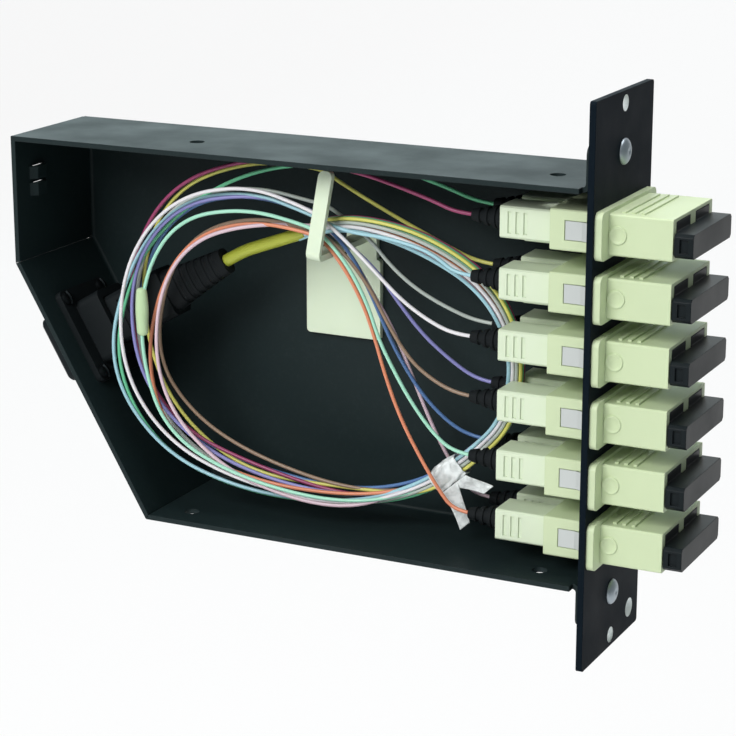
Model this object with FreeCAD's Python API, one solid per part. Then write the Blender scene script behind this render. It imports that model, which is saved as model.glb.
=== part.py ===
"""Fibre cassette: a folded steel tray on a face plate with six duplex adapters.

Millimetres. X points out of the face plate's front, Y away from the tray's open side and
Z up. The origin is the centre of the face plate's front face. Twelve coloured fibres run
from a multi-fibre port in the tray's slanted wall, through a yellow sleeve and one loop, to
the twelve plugs behind the adapters.
"""
import FreeCAD
import Part
import math
import os

from FreeCAD import Rotation, Vector

# Face plate
PLATE_HEIGHT = 130.0
PLATE_MARGIN = 0.8
PLATE_THICK = 1.5
PLATE_CORNER_R = 0.8
FIX_HOLE_D = 3.5
FIX_HOLE_INSET = 2.8
CORNER_HOLE_D = 4.4
CORNER_HOLE_INSET_Y = 5.8
CORNER_HOLE_INSET_Z = 5.3
WINDOW_CLEAR = 0.2

# Tray, folded from one sheet
SHEET = 1.2
BEND_R = 0.8
PANEL_CLEAR = 0.9
TRAY_HEIGHT = 92.0
TRAY_LENGTH = 148.3
END_WALL_HEIGHT = 31.35
FLOOR_LENGTH = 113.0
CORNER_SLIT = 0.12
RELIEF_D = 1.0
TAB_REACH = 9.0
TAB_MARGIN = 2.0
TAB_CORNER_R = 2.0
COVER_HOLE_D = 3.6
COVER_HOLE_FRONT = 13.5
COVER_HOLE_REAR = 9.0
ROOF_HOLE_INSET = 13.0
FLOOR_HOLE_INSET = 7.0

# Cable tie bridges pressed out of the end wall
BRIDGE_LENGTH = 6.6
BRIDGE_WIDTH = 3.2
BRIDGE_GAP = 0.9
BRIDGE_RISE = 1.5
BRIDGE_INSET = 5.6
BRIDGE_DROP = 8.3

# Rivets that join the plate to the tray's tabs
RIVET_RISE = 5.5
RIVET_SHANK_D = 3.0
RIVET_HEAD_D = 6.0
RIVET_HEAD_H = 1.2
RIVET_CROWN_D = 3.2
RIVET_TAIL_D = 4.4
RIVET_TAIL_H = 0.9
RIVET_CLEAR = 0.05

# Duplex adapters
ROWS = 6
ROW_PITCH = 14.2
BODY_WIDTH = 26.0
BODY_HEIGHT = 9.2
BODY_FRONT = 16.3
BODY_REAR = 12.0
BODY_EDGE = 0.3
FLANGE_LIP = 4.2
FLANGE_HEIGHT = 10.8
FLANGE_THICK = 1.7
FLANGE_CORNER_R = 1.6
PORT_PITCH = 12.7
PORT_WIDTH = 9.4
PORT_ROOF = 0.75
PORT_WEB = 1.6
KEY_CLEAR = 0.3
KEY_SLOT_LENGTH = 5.0
BARREL_D = 4.5
BARREL_LENGTH = 12.4
BEVEL_SHARE = 0.29
RIB_HEIGHT = 0.4
RIB_WIDTH = 0.9
RIB_PITCH = 2.2
RIB_COUNT = 3
RIB_MARGIN = 2.0
SUNK = 0.3

# Ceramic ferrules that meet in the adapters
FERRULE_D = 2.5
FERRULE_GAP = 0.05
RUNNING_FIT = 0.02

# Leaf springs that hold each adapter behind the plate
SPRING_THICK = 0.3
SPRING_HEIGHT = 4.2
SPRING_LEAF = 4.0
SPRING_START = 8.4
SPRING_TIP_OUT = 0.9
POCKET_DEPTH = 0.4
POCKET_CLEAR = 0.15

# Plugs behind the adapters and their boots
PLUG_REAR = 24.8
PLUG_CLEAR = 0.2
PLUG_EDGE = 0.4
PLUG_POCKET_CLEAR = 0.45
PLUG_POCKET_DEPTH = 7.5
KEY_WIDTH = 3.0
KEY_RISE = 0.85
KEY_LENGTH = 12.6
GRIP_DEPTH = 0.35
GRIP_WIDTH = 0.9
GRIP_PITCH = 1.9
GRIP_COUNT = 3
GRIP_MARGIN = 1.2
BOOT_D = 5.8
BOOT_END_D = 3.0
BOOT_LENGTH = 8.4
BOOT_COLLAR = 1.6
BOOT_COLLAR_EDGE = 1.4
BOOT_NECK_D = 5.0
BOOT_EDGE = 0.7

# Duplex dust caps in the front ports
CAP_BAR_THICK = 4.3
CAP_BAR_TOP = 1.65
CAP_BAR_BOTTOM = -3.75
CAP_GAP = 0.3
CAP_PLUG_DEPTH = 11.0
CAP_PLUG_CLEAR = 0.2
CAP_WALL = 1.0
CAP_HOLLOW_START = 7.2
CAP_EDGE = 0.7
CAP_GRIP_DEPTH = 0.6
CAP_GRIP_MARGIN = 1.2

# Multi-fibre port in the slanted wall
PORT_UP = 12.0
PORT_Y = -2.0
MULTI_BODY_LONG = 17.0
MULTI_BODY_SHORT = 11.6
MULTI_OUT = 6.5
MULTI_IN = 10.0
MULTI_CORNER_R = 1.8
MULTI_FLANGE_LONG = 24.6
MULTI_FLANGE_SHORT = 19.6
MULTI_FLANGE_THICK = 1.6
MULTI_PORT_LONG = 12.8
MULTI_PORT_SHORT = 8.0
MULTI_WEB = 1.0
MULTI_FERRULE_LONG = 6.4
MULTI_FERRULE_SHORT = 2.5
MULTI_EDGE = 0.9

# Multi-fibre plug, its boot, and the cap outside
MULTI_PLUG_START = 1.5
MULTI_PLUG_END = 27.0
MULTI_GRIP_START = 13.0
MULTI_GRIP_COUNT = 4
MULTI_GRIP_MARGIN = 2.0
MULTI_BOOT_LENGTH = 17.5
MULTI_BOOT_END_LONG = 6.6
MULTI_BOOT_END_SHORT = 4.6
MULTI_BOOT_DROP = 0.4
MULTI_CAP_HEAD = 2.8
MULTI_CAP_EDGE = 0.7
MULTI_CAP_PLUG = 4.6
MULTI_CAP_CLEAR = 0.2

# Fan-out sleeve and fibres
SLEEVE_TUBE_D = 3.0
LEAD_D = 2.0
FIBRE_D = 0.9
ARC_SHARE = 0.45
FAN_SLEEVE_STRAIGHT = 6.0
FAN_SLEEVE_END = (-78.3, -2.0, 26.1)
LEAD_STRAIGHT = 4.0
LEAD_END = (-66.5, -5.7, 32.0)

# The loop of fibres: the outer shape of its strands, in a plane turned about Z
LOOP_WIDE = 9.0
LOOP_DEEP = 5.0
LOOP_EDGE = 1.5
LOOP_TURN_DEG = 6.7
LOOP_PIVOT = (-30.0, -0.6, 0.0)
LOOP_ROUTE = (
    (-31.5, 14.0),
    (-31.5, -14.0),
    (-44.0, -33.0),
    (-66.0, -39.5),
    (-93.0, -38.0),
    (-113.5, -28.0),
    (-122.0, -9.0),
    (-122.0, 15.0),
    (-109.5, 32.0),
    (-91.0, 38.5),
    (-70.0, 35.0),
    (-46.0, 29.5),
)

# Fibre tails, row by row: X and Z of each point between the loop and the straight run
TAIL_START_X = -69.5
TAIL_TOP_Z = 38.6
TAIL_STEP_Z = 1.5
TAIL_NEAR_Y = -7.2
TAIL_FAR_Y = -2.95
TAIL_STRAIGHT = 7.0
TAIL_ROUTES = (
    ((-60.0, 39.0), (-49.5, 37.2)),
    ((-60.5, 33.8), (-50.5, 27.0)),
    ((-62.0, 29.5), (-55.0, 20.5), (-47.5, 11.5)),
    ((-63.0, 27.5), (-57.0, 14.5), (-49.0, 1.5)),
    ((-63.5, 25.0), (-59.5, 10.5), (-53.0, -4.5), (-46.0, -15.5)),
    ((-64.5, 24.0), (-62.5, 8.5), (-57.5, -10.0), (-49.5, -26.0)),
)

# Tape round the fibres
TAPE_WALL = 0.5
TAPE_R = 1.0
TAPE_LENGTH = 7.5
TAPE_SIDE_CLEAR = 0.6
TAPE_FACE_CLEAR = 0.1
TAPE_SHARE = 0.6
TAPE_RUN_INDEX = 1
FLAG_LENGTH = 8.5
FLAG_WIDTH = 4.6
FLAG_THICK = 0.35
FLAG_FALL_DEG = 38.0
BINDER_SIZE = (3.2, 2.6, 12.0)
BINDER_RUN_INDEX = 6
BINDER_CLEAR = 0.35
BINDER_SHIFT = 5.0
BINDER_RISE = 2.5
BINDER_R = 0.8

# Moulded hook stuck to the tray's back panel
PAD_SIDE = 20.0
PAD_THICK = 1.6
PAD_CORNER_R = 1.0
PAD_X = -76.0
PAD_Z = 7.5
TONGUE_WIDTH = 8.0
TONGUE_RISE = 8.0
HOOK_WIDTH = 3.5
HOOK_X = -71.0
HOOK_Z = 22.6
HOOK_THICK = 1.6
HOOK_ROOM = 4.92
HOOK_BEND_R = 2.0
FINGER_CLEAR = 2.0
FINGER_BACK = 4.0
FINGER_LEAN_DEG = 5.0
FINGER_FLAT = 0.4

# Places worked out from the sizes above
FLANGE_WIDTH = BODY_WIDTH + 2 * FLANGE_LIP
PLATE_WIDTH = FLANGE_WIDTH + 2 * PLATE_MARGIN
PLATE_REAR = -PLATE_THICK
TRAY_OPEN_Y = -PLATE_WIDTH / 2
PANEL_Y = BODY_WIDTH / 2 + SPRING_TIP_OUT + PANEL_CLEAR
TRAY_BACK_Y = PANEL_Y + SHEET
TRAY_END_X = PLATE_REAR - TRAY_LENGTH
ROOF_Z = TRAY_HEIGHT / 2
OUTER_R = SHEET + BEND_R
CORNERS = (
    (PLATE_REAR, ROOF_Z),
    (TRAY_END_X, ROOF_Z),
    (TRAY_END_X, ROOF_Z - END_WALL_HEIGHT),
    (PLATE_REAR - FLOOR_LENGTH, -ROOF_Z),
    (PLATE_REAR, -ROOF_Z),
)
ADAPTER_MID = (BODY_FRONT - BODY_REAR) / 2
PORT_HEIGHT = BODY_HEIGHT - 2 * PORT_ROOF
PLUG_WIDTH = PORT_WIDTH - 2 * PLUG_CLEAR
PLUG_HEIGHT = PORT_HEIGHT - 2 * PLUG_CLEAR
PLUG_POCKET = BARREL_D + 2 * PLUG_POCKET_CLEAR
MULTI_PLUG_LONG = MULTI_PORT_LONG - 2 * PLUG_CLEAR
MULTI_PLUG_SHORT = MULTI_PORT_SHORT - 2 * PLUG_CLEAR
BOOT_END_X = -PLUG_REAR - BOOT_LENGTH
RIVET_Z = ROOF_Z + RIVET_RISE


def box(x0, x1, y0, y1, z0, z1):
    """A box between two corners, given axis by axis."""
    return Part.makeBox(x1 - x0, y1 - y0, z1 - z0, Vector(x0, y0, z0))


def rod(diameter, start, end):
    """A round rod between two points."""
    run = end - start
    return Part.makeCylinder(diameter / 2, run.Length, start, run)


def prism(points, push):
    """A closed polygon of points, pushed along a vector."""
    wire = Part.makePolygon([*points, points[0]])
    return Part.Face(wire).extrude(push)


def rounded_block(size_x, size_y, size_z, radius, axis):
    """A centred block whose four edges along one axis are rounded."""
    block = box(-size_x / 2, size_x / 2, -size_y / 2, size_y / 2, -size_z / 2, size_z / 2)
    return round_along(block, axis, radius)


def round_along(solid, axis, radius):
    """Round every straight edge that runs along one axis."""
    return solid.makeFillet(radius, long_edges(solid, axis))


def long_edges(solid, axis):
    """Every straight edge that runs along one axis."""
    return [edge for edge in solid.Edges if runs_along(edge, axis)]


def runs_along(edge, axis):
    """Whether a straight edge runs along an axis."""
    if not isinstance(edge.Curve, Part.Line):
        return False
    return abs(abs(edge.tangentAt(edge.FirstParameter).dot(axis)) - 1.0) < 1e-6


def bevelled_block(size_x, size_y, size_z, bevel):
    """A centred block whose four edges along X are bevelled."""
    block = box(-size_x / 2, size_x / 2, -size_y / 2, size_y / 2, -size_z / 2, size_z / 2)
    return block.makeChamfer(bevel, long_edges(block, Vector(1, 0, 0)))


def taper(length, short, long, end_short, end_long, bevel):
    """A block that tapers along X between two Y by Z rectangles, its long edges bevelled."""
    block = Part.makeWedge(-short / 2, 0, -long / 2, -end_long / 2, -end_short / 2,
                           short / 2, length, long / 2, end_long / 2, end_short / 2)
    edges = [edge for edge in block.Edges if abs(edge.CenterOfMass.y - length / 2) < 1e-6]
    block = block.makeChamfer(bevel, edges)
    block.rotate(Vector(0, 0, 0), Vector(0, 0, 1), -90)
    return block


def fuse(solids):
    """One solid from several that touch or overlap."""
    return solids[0].multiFuse(solids[1:]).removeSplitter()


def row_z(row):
    """Height of a row's centre, counted from 0 at the top."""
    return ((ROWS - 1) / 2 - row) * ROW_PITCH


def port_sides():
    """Y of the two ports of an adapter, near one first."""
    return (-PORT_PITCH / 2, PORT_PITCH / 2)


def tray_prism(inset, y0, y1, radius):
    """The tray's five-sided outline, drawn in by an inset, with its back edges rounded."""
    shell = prism([Vector(x, y0, z) for x, z in CORNERS], Vector(0, y1 - y0, 0))
    if inset:
        outline = Part.makePolygon([Vector(x, y0, z) for x, z in (*CORNERS, CORNERS[0])])
        shell = Part.Face(outline.makeOffset2D(-inset, 2)).extrude(Vector(0, y1 - y0, 0))
    front = PLATE_REAR - inset
    edges = [edge for edge in shell.Edges if back_bend(edge, y1, front)]
    return shell.makeFillet(radius, edges)


def back_bend(edge, y, front):
    """Whether an edge is one of the four folds between the back panel and a wall."""
    ends = [vertex.Point for vertex in edge.Vertexes]
    on_back = all(abs(end.y - y) < 1e-6 for end in ends)
    return on_back and not all(abs(end.x - front) < 1e-6 for end in ends)


def corner_slit(corner, before, after):
    """The narrow gap between two wall flaps, with its round relief at the fold."""
    here = Vector(corner[0], 0, corner[1])
    to_before = (Vector(before[0], 0, before[1]) - here).normalize()
    to_after = (Vector(after[0], 0, after[1]) - here).normalize()
    inward = (to_before + to_after).normalize()
    across = inward.cross(Vector(0, 1, 0)) * (CORNER_SLIT / 2)
    reach = inward * (3 * OUTER_R)
    fold_y = TRAY_BACK_Y - OUTER_R
    start = here - reach + Vector(0, TRAY_OPEN_Y - 1, 0)
    points = [start + across, start - across]
    points += [start - across + reach * 2, start + across + reach * 2]
    slit = prism(points, Vector(0, fold_y - TRAY_OPEN_Y + 1, 0))
    centre = here + Vector(0, fold_y, 0)
    relief = rod(RELIEF_D, centre - reach, centre + reach)
    return slit.fuse(relief)


def wall_tab(side):
    """The tab folded out of the roof (side 1) or the floor (side -1), behind the plate."""
    z_in = ROOF_Z - SHEET
    z_mid = z_in + OUTER_R
    x_mid = PLATE_REAR - OUTER_R
    slope = math.sin(math.radians(45))
    outer = Part.Arc(
        Vector(x_mid, 0, z_in),
        Vector(x_mid + OUTER_R * slope, 0, z_mid - OUTER_R * slope),
        Vector(PLATE_REAR, 0, z_mid),
    )
    inner = Part.Arc(
        Vector(PLATE_REAR - SHEET, 0, z_mid),
        Vector(x_mid + BEND_R * slope, 0, z_mid - BEND_R * slope),
        Vector(x_mid, 0, ROOF_Z),
    )
    top = ROOF_Z + TAB_REACH
    start = Vector(x_mid - OUTER_R, 0, z_in)
    finish = Vector(x_mid - OUTER_R, 0, ROOF_Z)
    edges = [
        Part.LineSegment(start, Vector(x_mid, 0, z_in)).toShape(),
        outer.toShape(),
        Part.LineSegment(Vector(PLATE_REAR, 0, z_mid), Vector(PLATE_REAR, 0, top)).toShape(),
        Part.LineSegment(Vector(PLATE_REAR, 0, top), Vector(PLATE_REAR - SHEET, 0, top)).toShape(),
        Part.LineSegment(Vector(PLATE_REAR - SHEET, 0, top),
                         Vector(PLATE_REAR - SHEET, 0, z_mid)).toShape(),
        inner.toShape(),
        Part.LineSegment(Vector(x_mid, 0, ROOF_Z), finish).toShape(),
        Part.LineSegment(finish, start).toShape(),
    ]
    width = PANEL_Y - BEND_R - TRAY_OPEN_Y - 2 * TAB_MARGIN
    tab = Part.Face(Part.Wire(edges)).extrude(Vector(0, width, 0))
    tab.translate(Vector(0, TRAY_OPEN_Y + TAB_MARGIN, 0))
    tips = [edge for edge in tab.Edges if tab_tip(edge, top)]
    tab = tab.makeFillet(TAB_CORNER_R, tips)
    if side < 0:
        tab = tab.mirror(Vector(0, 0, 0), Vector(0, 0, 1))
    return tab


def tab_tip(edge, top):
    """Whether an edge is one of the tab's two short end edges along X."""
    return runs_along(edge, Vector(1, 0, 0)) and abs(edge.CenterOfMass.z - top) < 1e-6


def bridge_z():
    """Heights of the middles of the two tie bridges."""
    upper = ROOF_Z - BRIDGE_DROP - BRIDGE_WIDTH / 2
    return (upper, upper - BRIDGE_WIDTH - BRIDGE_GAP)


def tie_bridge(z_mid):
    """One strip of the end wall pressed inward, as an arch along Y."""
    y0 = TRAY_OPEN_Y + BRIDGE_INSET
    y1 = y0 + BRIDGE_LENGTH
    ramp = BRIDGE_RISE
    low = TRAY_END_X
    high = low + BRIDGE_RISE
    outline = (
        (low, y0),
        (low + SHEET, y0),
        (high + SHEET, y0 + ramp),
        (high + SHEET, y1 - ramp),
        (low + SHEET, y1),
        (low, y1),
        (high, y1 - ramp),
        (high, y0 + ramp),
    )
    points = [Vector(x, y, z_mid - BRIDGE_WIDTH / 2) for x, y in outline]
    return prism(points, Vector(0, 0, BRIDGE_WIDTH))


def bridge_windows():
    """The openings that the two bridges leave in the end wall."""
    y0 = TRAY_OPEN_Y + BRIDGE_INSET
    upper, lower = bridge_z()
    windows = []
    for z_mid in (upper, lower):
        z0 = z_mid - BRIDGE_WIDTH / 2
        windows.append(box(TRAY_END_X - 1, TRAY_END_X + SHEET + 1, y0, y0 + BRIDGE_LENGTH,
                           z0, z0 + BRIDGE_WIDTH))
    return windows


def cover_holes():
    """Holes near the open edge of the roof and the floor, for the cover's screws."""
    holes = []
    for side, inset in ((1, ROOF_HOLE_INSET), (-1, FLOOR_HOLE_INSET)):
        for x in (-COVER_HOLE_FRONT, CORNERS[3][0] + COVER_HOLE_REAR):
            y = TRAY_OPEN_Y + inset
            low = Vector(x, y, side * (ROOF_Z - 2 * SHEET))
            high = Vector(x, y, side * (ROOF_Z + SHEET))
            holes.append(rod(COVER_HOLE_D, low, high))
    return holes


def slanted(shape):
    """Place a shape drawn about the multi-fibre port: X inward, Z up along the wall."""
    top = Vector(CORNERS[2][0], 0, CORNERS[2][1])
    bottom = Vector(CORNERS[3][0], 0, CORNERS[3][1])
    up = (top - bottom).normalize()
    centre = (top + bottom) * 0.5 + up * PORT_UP + Vector(0, PORT_Y, 0)
    tilt = -math.degrees(math.atan2(-up.x, up.z))
    placed = shape.copy()
    placed.rotate(Vector(0, 0, 0), Vector(0, 1, 0), tilt)
    placed.translate(centre)
    return placed


def inward_normal():
    """Unit vector that points into the tray from the slanted wall."""
    top = Vector(CORNERS[2][0], 0, CORNERS[2][1])
    bottom = Vector(CORNERS[3][0], 0, CORNERS[3][1])
    up = (top - bottom).normalize()
    return Vector(up.z, 0, -up.x)


def port_point(x):
    """A point on the multi-fibre port's axis, x inward from the wall's outer face."""
    return slanted(Part.Vertex(x, 0, 0)).Point


def housing():
    """The tray: back panel, four folded walls, two tabs, slits, holes and tie bridges."""
    outer = tray_prism(0, TRAY_OPEN_Y, TRAY_BACK_Y, OUTER_R)
    hollow = tray_prism(SHEET, TRAY_OPEN_Y - 1, PANEL_Y, BEND_R)
    front = box(PLATE_REAR - 2 * SHEET, PLATE_REAR + 1, TRAY_OPEN_Y - 1, PANEL_Y,
                -ROOF_Z + SHEET, ROOF_Z - SHEET)
    tray = outer.cut(hollow).cut(front)
    for side in (1, -1):
        low, high = sorted((side * (ROOF_Z - SHEET), side * (ROOF_Z + 1)))
        notch = box(PLATE_REAR - OUTER_R, PLATE_REAR + 1, TRAY_OPEN_Y - 1, PANEL_Y - BEND_R,
                    low, high)
        tray = tray.cut(notch).fuse(wall_tab(side))
    cuts = [corner_slit(CORNERS[i], CORNERS[i - 1], CORNERS[i + 1]) for i in (1, 2, 3)]
    cuts += cover_holes() + bridge_windows() + rivet_holes() + [port_window()]
    tray = tray.cut(Part.makeCompound(cuts))
    return fuse([tray, *[tie_bridge(z) for z in bridge_z()]])


def port_window():
    """The window of the multi-fibre port in the slanted wall."""
    clear = 2 * WINDOW_CLEAR
    window = rounded_block(6 * SHEET, MULTI_BODY_SHORT + clear, MULTI_BODY_LONG + clear,
                           MULTI_CORNER_R, Vector(1, 0, 0))
    window.translate(Vector(SHEET, 0, 0))
    return slanted(window)


def rivet_holes():
    """Holes for the two rivets, through plate and tab."""
    bore = RIVET_SHANK_D + 2 * RIVET_CLEAR
    return [rod(bore, Vector(-2 * OUTER_R, 0, z), Vector(1, 0, z)) for z in (RIVET_Z, -RIVET_Z)]


def face_plate():
    """The flat plate with six windows, two fixing holes, a corner hole and two rivet holes."""
    plate = rounded_block(PLATE_THICK, PLATE_WIDTH, PLATE_HEIGHT, PLATE_CORNER_R, Vector(1, 0, 0))
    plate.translate(Vector(-PLATE_THICK / 2, 0, 0))
    half_w = BODY_WIDTH / 2 + WINDOW_CLEAR
    half_h = BODY_HEIGHT / 2 + WINDOW_CLEAR
    cuts = [box(-2 * PLATE_THICK, 1, -half_w, half_w, row_z(row) - half_h, row_z(row) + half_h)
            for row in range(ROWS)]
    fix_z = PLATE_HEIGHT / 2 - FIX_HOLE_INSET
    for z in (fix_z, -fix_z):
        cuts.append(rod(FIX_HOLE_D, Vector(-2 * PLATE_THICK, 0, z), Vector(1, 0, z)))
    y = PLATE_WIDTH / 2 - CORNER_HOLE_INSET_Y
    z = -PLATE_HEIGHT / 2 + CORNER_HOLE_INSET_Z
    cuts.append(rod(CORNER_HOLE_D, Vector(-2 * PLATE_THICK, y, z), Vector(1, y, z)))
    return plate.cut(Part.makeCompound(cuts + rivet_holes()))


def rivet(z):
    """One rivet: low head on the plate, shank, and the flat tail behind the tab."""
    grip = PLATE_THICK + SHEET
    shank = rod(RIVET_SHANK_D, Vector(-grip, 0, z), Vector(0, 0, z))
    tail = rod(RIVET_TAIL_D, Vector(-grip - RIVET_TAIL_H, 0, z), Vector(-grip, 0, z))
    head = Part.makeCone(RIVET_HEAD_D / 2, RIVET_CROWN_D / 2, RIVET_HEAD_H,
                         Vector(0, 0, z), Vector(1, 0, 0))
    return fuse([shank, tail, head])


def adapter(row):
    """One duplex adapter: two ports each side of a web, flange, keyways and barrels."""
    z = row_z(row)
    body = box(-BODY_REAR, BODY_FRONT, -BODY_WIDTH / 2, BODY_WIDTH / 2,
               -BODY_HEIGHT / 2, BODY_HEIGHT / 2)
    body = body.makeChamfer(BODY_EDGE, long_edges(body, Vector(1, 0, 0)))
    flange = rounded_block(FLANGE_THICK, FLANGE_WIDTH, FLANGE_HEIGHT, FLANGE_CORNER_R,
                           Vector(1, 0, 0))
    flange.translate(Vector(FLANGE_THICK / 2, 0, 0))
    shell = fuse([body, flange, *adapter_ribs()])
    shell = shell.cut(Part.makeCompound([*port_cavities(), *spring_pockets()]))
    shell = fuse([shell, *[barrel(y) for y in port_sides()]])
    shell = shell.cut(Part.makeCompound([barrel_bore(y) for y in port_sides()]))
    shell.translate(Vector(0, 0, z))
    return shell


def adapter_ribs():
    """Three low ribs across the roof and the floor, just ahead of the flange."""
    ribs = []
    top = BODY_HEIGHT / 2
    half_w = BODY_WIDTH / 2 - RIB_MARGIN
    for number in range(RIB_COUNT):
        x = FLANGE_THICK + RIB_PITCH * (number + 1)
        for side in (1, -1):
            low, high = sorted((side * (top - SUNK), side * (top + RIB_HEIGHT)))
            ribs.append(box(x, x + RIB_WIDTH, -half_w, half_w, low, high))
    return ribs


def port_cavities():
    """The four port cavities and the key slots in their floors."""
    cuts = []
    half_w = PORT_WIDTH / 2
    half_h = PORT_HEIGHT / 2
    half_key = KEY_WIDTH / 2 + KEY_CLEAR
    spans = ((ADAPTER_MID + PORT_WEB / 2, BODY_FRONT + 1),
             (-BODY_REAR - 1, ADAPTER_MID - PORT_WEB / 2))
    slots = ((BODY_FRONT - KEY_SLOT_LENGTH, BODY_FRONT + 1),
             (-BODY_REAR - 1, -BODY_REAR + KEY_SLOT_LENGTH))
    for y in port_sides():
        for x0, x1 in spans:
            cuts.append(box(x0, x1, y - half_w, y + half_w, -half_h, half_h))
        for x0, x1 in slots:
            cuts.append(box(x0, x1, y - half_key, y + half_key, -BODY_HEIGHT / 2 - 1, 0))
    return cuts


def barrel(y):
    """The eight-sided holder on the web in which two ferrules meet."""
    block = bevelled_block(BARREL_LENGTH, BARREL_D, BARREL_D, BARREL_D * BEVEL_SHARE)
    block.translate(Vector(ADAPTER_MID, y, 0))
    return block


def barrel_bore(y):
    """The bore of a barrel, a running fit on the ferrules."""
    reach = BARREL_LENGTH
    return rod(FERRULE_D + 2 * RUNNING_FIT, Vector(ADAPTER_MID - reach, y, 0),
               Vector(ADAPTER_MID + reach, y, 0))


def spring_pockets():
    """The shallow pocket for a leaf spring in each side of the rear half."""
    pockets = []
    half_h = SPRING_HEIGHT / 2 + POCKET_CLEAR
    for side in (-1, 1):
        low, high = sorted((side * (BODY_WIDTH / 2 - POCKET_DEPTH), side * (BODY_WIDTH / 2 + 1)))
        pockets.append(box(-SPRING_START - POCKET_CLEAR, PLATE_REAR, low, high, -half_h, half_h))
    return pockets


def spring(row, side):
    """One leaf spring: a leaf on the pocket's floor and a tongue sprung out to the plate."""
    inner = BODY_WIDTH / 2 - POCKET_DEPTH
    outer = BODY_WIDTH / 2 + SPRING_TIP_OUT
    bend_x = -SPRING_START + SPRING_LEAF
    tip_x = PLATE_REAR - 2 * WINDOW_CLEAR
    outline = (
        (-SPRING_START, inner),
        (bend_x, inner),
        (tip_x, outer - SPRING_THICK),
        (tip_x, outer),
        (bend_x - SPRING_THICK / 2, inner + SPRING_THICK),
        (-SPRING_START, inner + SPRING_THICK),
    )
    points = [Vector(x, side * y, row_z(row) - SPRING_HEIGHT / 2) for x, y in outline]
    return prism(points, Vector(0, 0, SPRING_HEIGHT))


def ferrule(row, y):
    """The ceramic ferrule of one plug, from its pocket's floor to just short of the middle."""
    seat = Vector(-PLUG_POCKET_DEPTH, y, row_z(row))
    return rod(FERRULE_D, seat, Vector(ADAPTER_MID - FERRULE_GAP, y, row_z(row)))


def plug(row, y):
    """One push-pull plug: body with bevelled edges, key below, side grips, front pocket."""
    half_w = PLUG_WIDTH / 2
    half_h = PLUG_HEIGHT / 2
    body = box(-PLUG_REAR, 0, -half_w, half_w, -half_h, half_h)
    body = body.makeChamfer(PLUG_EDGE, long_edges(body, Vector(1, 0, 0)))
    key_front = -BODY_REAR + KEY_SLOT_LENGTH - 2 * WINDOW_CLEAR
    key = box(key_front - KEY_LENGTH, key_front, -KEY_WIDTH / 2, KEY_WIDTH / 2,
              -half_h - KEY_RISE, 0)
    half = PLUG_POCKET / 2
    pocket = box(-PLUG_POCKET_DEPTH, 1, -half, half, -half, half)
    body = fuse([body, key]).cut(Part.makeCompound([pocket, *plug_grips()]))
    body.translate(Vector(0, y, row_z(row)))
    return body


def plug_grips():
    """Upright grooves in both sides of a plug, near its rear end."""
    grips = []
    half_h = PLUG_HEIGHT / 2 - GRIP_MARGIN
    for number in range(GRIP_COUNT):
        x = -PLUG_REAR + GRIP_PITCH * (number + 1)
        for side in (-1, 1):
            low, high = sorted((side * (PLUG_WIDTH / 2 - GRIP_DEPTH), side * PLUG_WIDTH))
            grips.append(box(x, x + GRIP_WIDTH, low, high, -half_h, half_h))
    return grips


def boot(row, y):
    """The boot behind a plug: a short collar, then a taper to the fibre, edges bevelled."""
    collar = taper(BOOT_COLLAR, BOOT_D, BOOT_D, BOOT_D, BOOT_D, BOOT_COLLAR_EDGE)
    tail = taper(BOOT_LENGTH - BOOT_COLLAR, BOOT_NECK_D, BOOT_NECK_D, BOOT_END_D, BOOT_END_D,
                 BOOT_EDGE)
    tail.translate(Vector(BOOT_COLLAR, 0, 0))
    shape = fuse([collar, tail])
    shape.rotate(Vector(0, 0, 0), Vector(0, 0, 1), 180)
    shape.translate(Vector(-PLUG_REAR, y, row_z(row)))
    return shape


def dust_cap(row):
    """A duplex dust cap: one grip bar with end recesses, and a trough into each port."""
    back = BODY_FRONT + CAP_GAP
    half = BODY_WIDTH / 2
    bar = box(back, back + CAP_BAR_THICK, -half, half, CAP_BAR_BOTTOM, CAP_BAR_TOP)
    bar = bar.makeChamfer(CAP_EDGE, long_edges(bar, Vector(1, 0, 0)))
    bar = bar.cut(Part.makeCompound([cap_grip(side, back) for side in (-1, 1)]))
    cap = fuse([bar, *[cap_trough(y, back) for y in port_sides()]])
    cap.translate(Vector(0, 0, row_z(row)))
    return cap


def cap_grip(side, back):
    """A finger recess in one end of the cap's bar."""
    low, high = sorted((side * (BODY_WIDTH / 2 - CAP_GRIP_DEPTH), side * BODY_WIDTH))
    margin = CAP_GRIP_MARGIN
    return box(back + margin, back + CAP_BAR_THICK - margin, low, high,
               CAP_BAR_BOTTOM + margin, CAP_BAR_TOP - margin)


def cap_trough(y, back):
    """The part of a cap in one port: a block, hollowed from above to clear the barrel."""
    half = PORT_WIDTH / 2 - CAP_PLUG_CLEAR
    top = PORT_HEIGHT / 2 - CAP_PLUG_CLEAR
    rear = back - CAP_PLUG_DEPTH
    block = box(rear, BODY_FRONT, y - half, y + half, -top, top)
    neck = box(rear, back + 1, y - half, y + half, -top, CAP_BAR_TOP)
    hollow = box(rear - 1, back - CAP_HOLLOW_START, y - half + CAP_WALL, y + half - CAP_WALL,
                 -top + CAP_WALL, top + 1)
    return fuse([block, neck]).cut(hollow)


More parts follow.
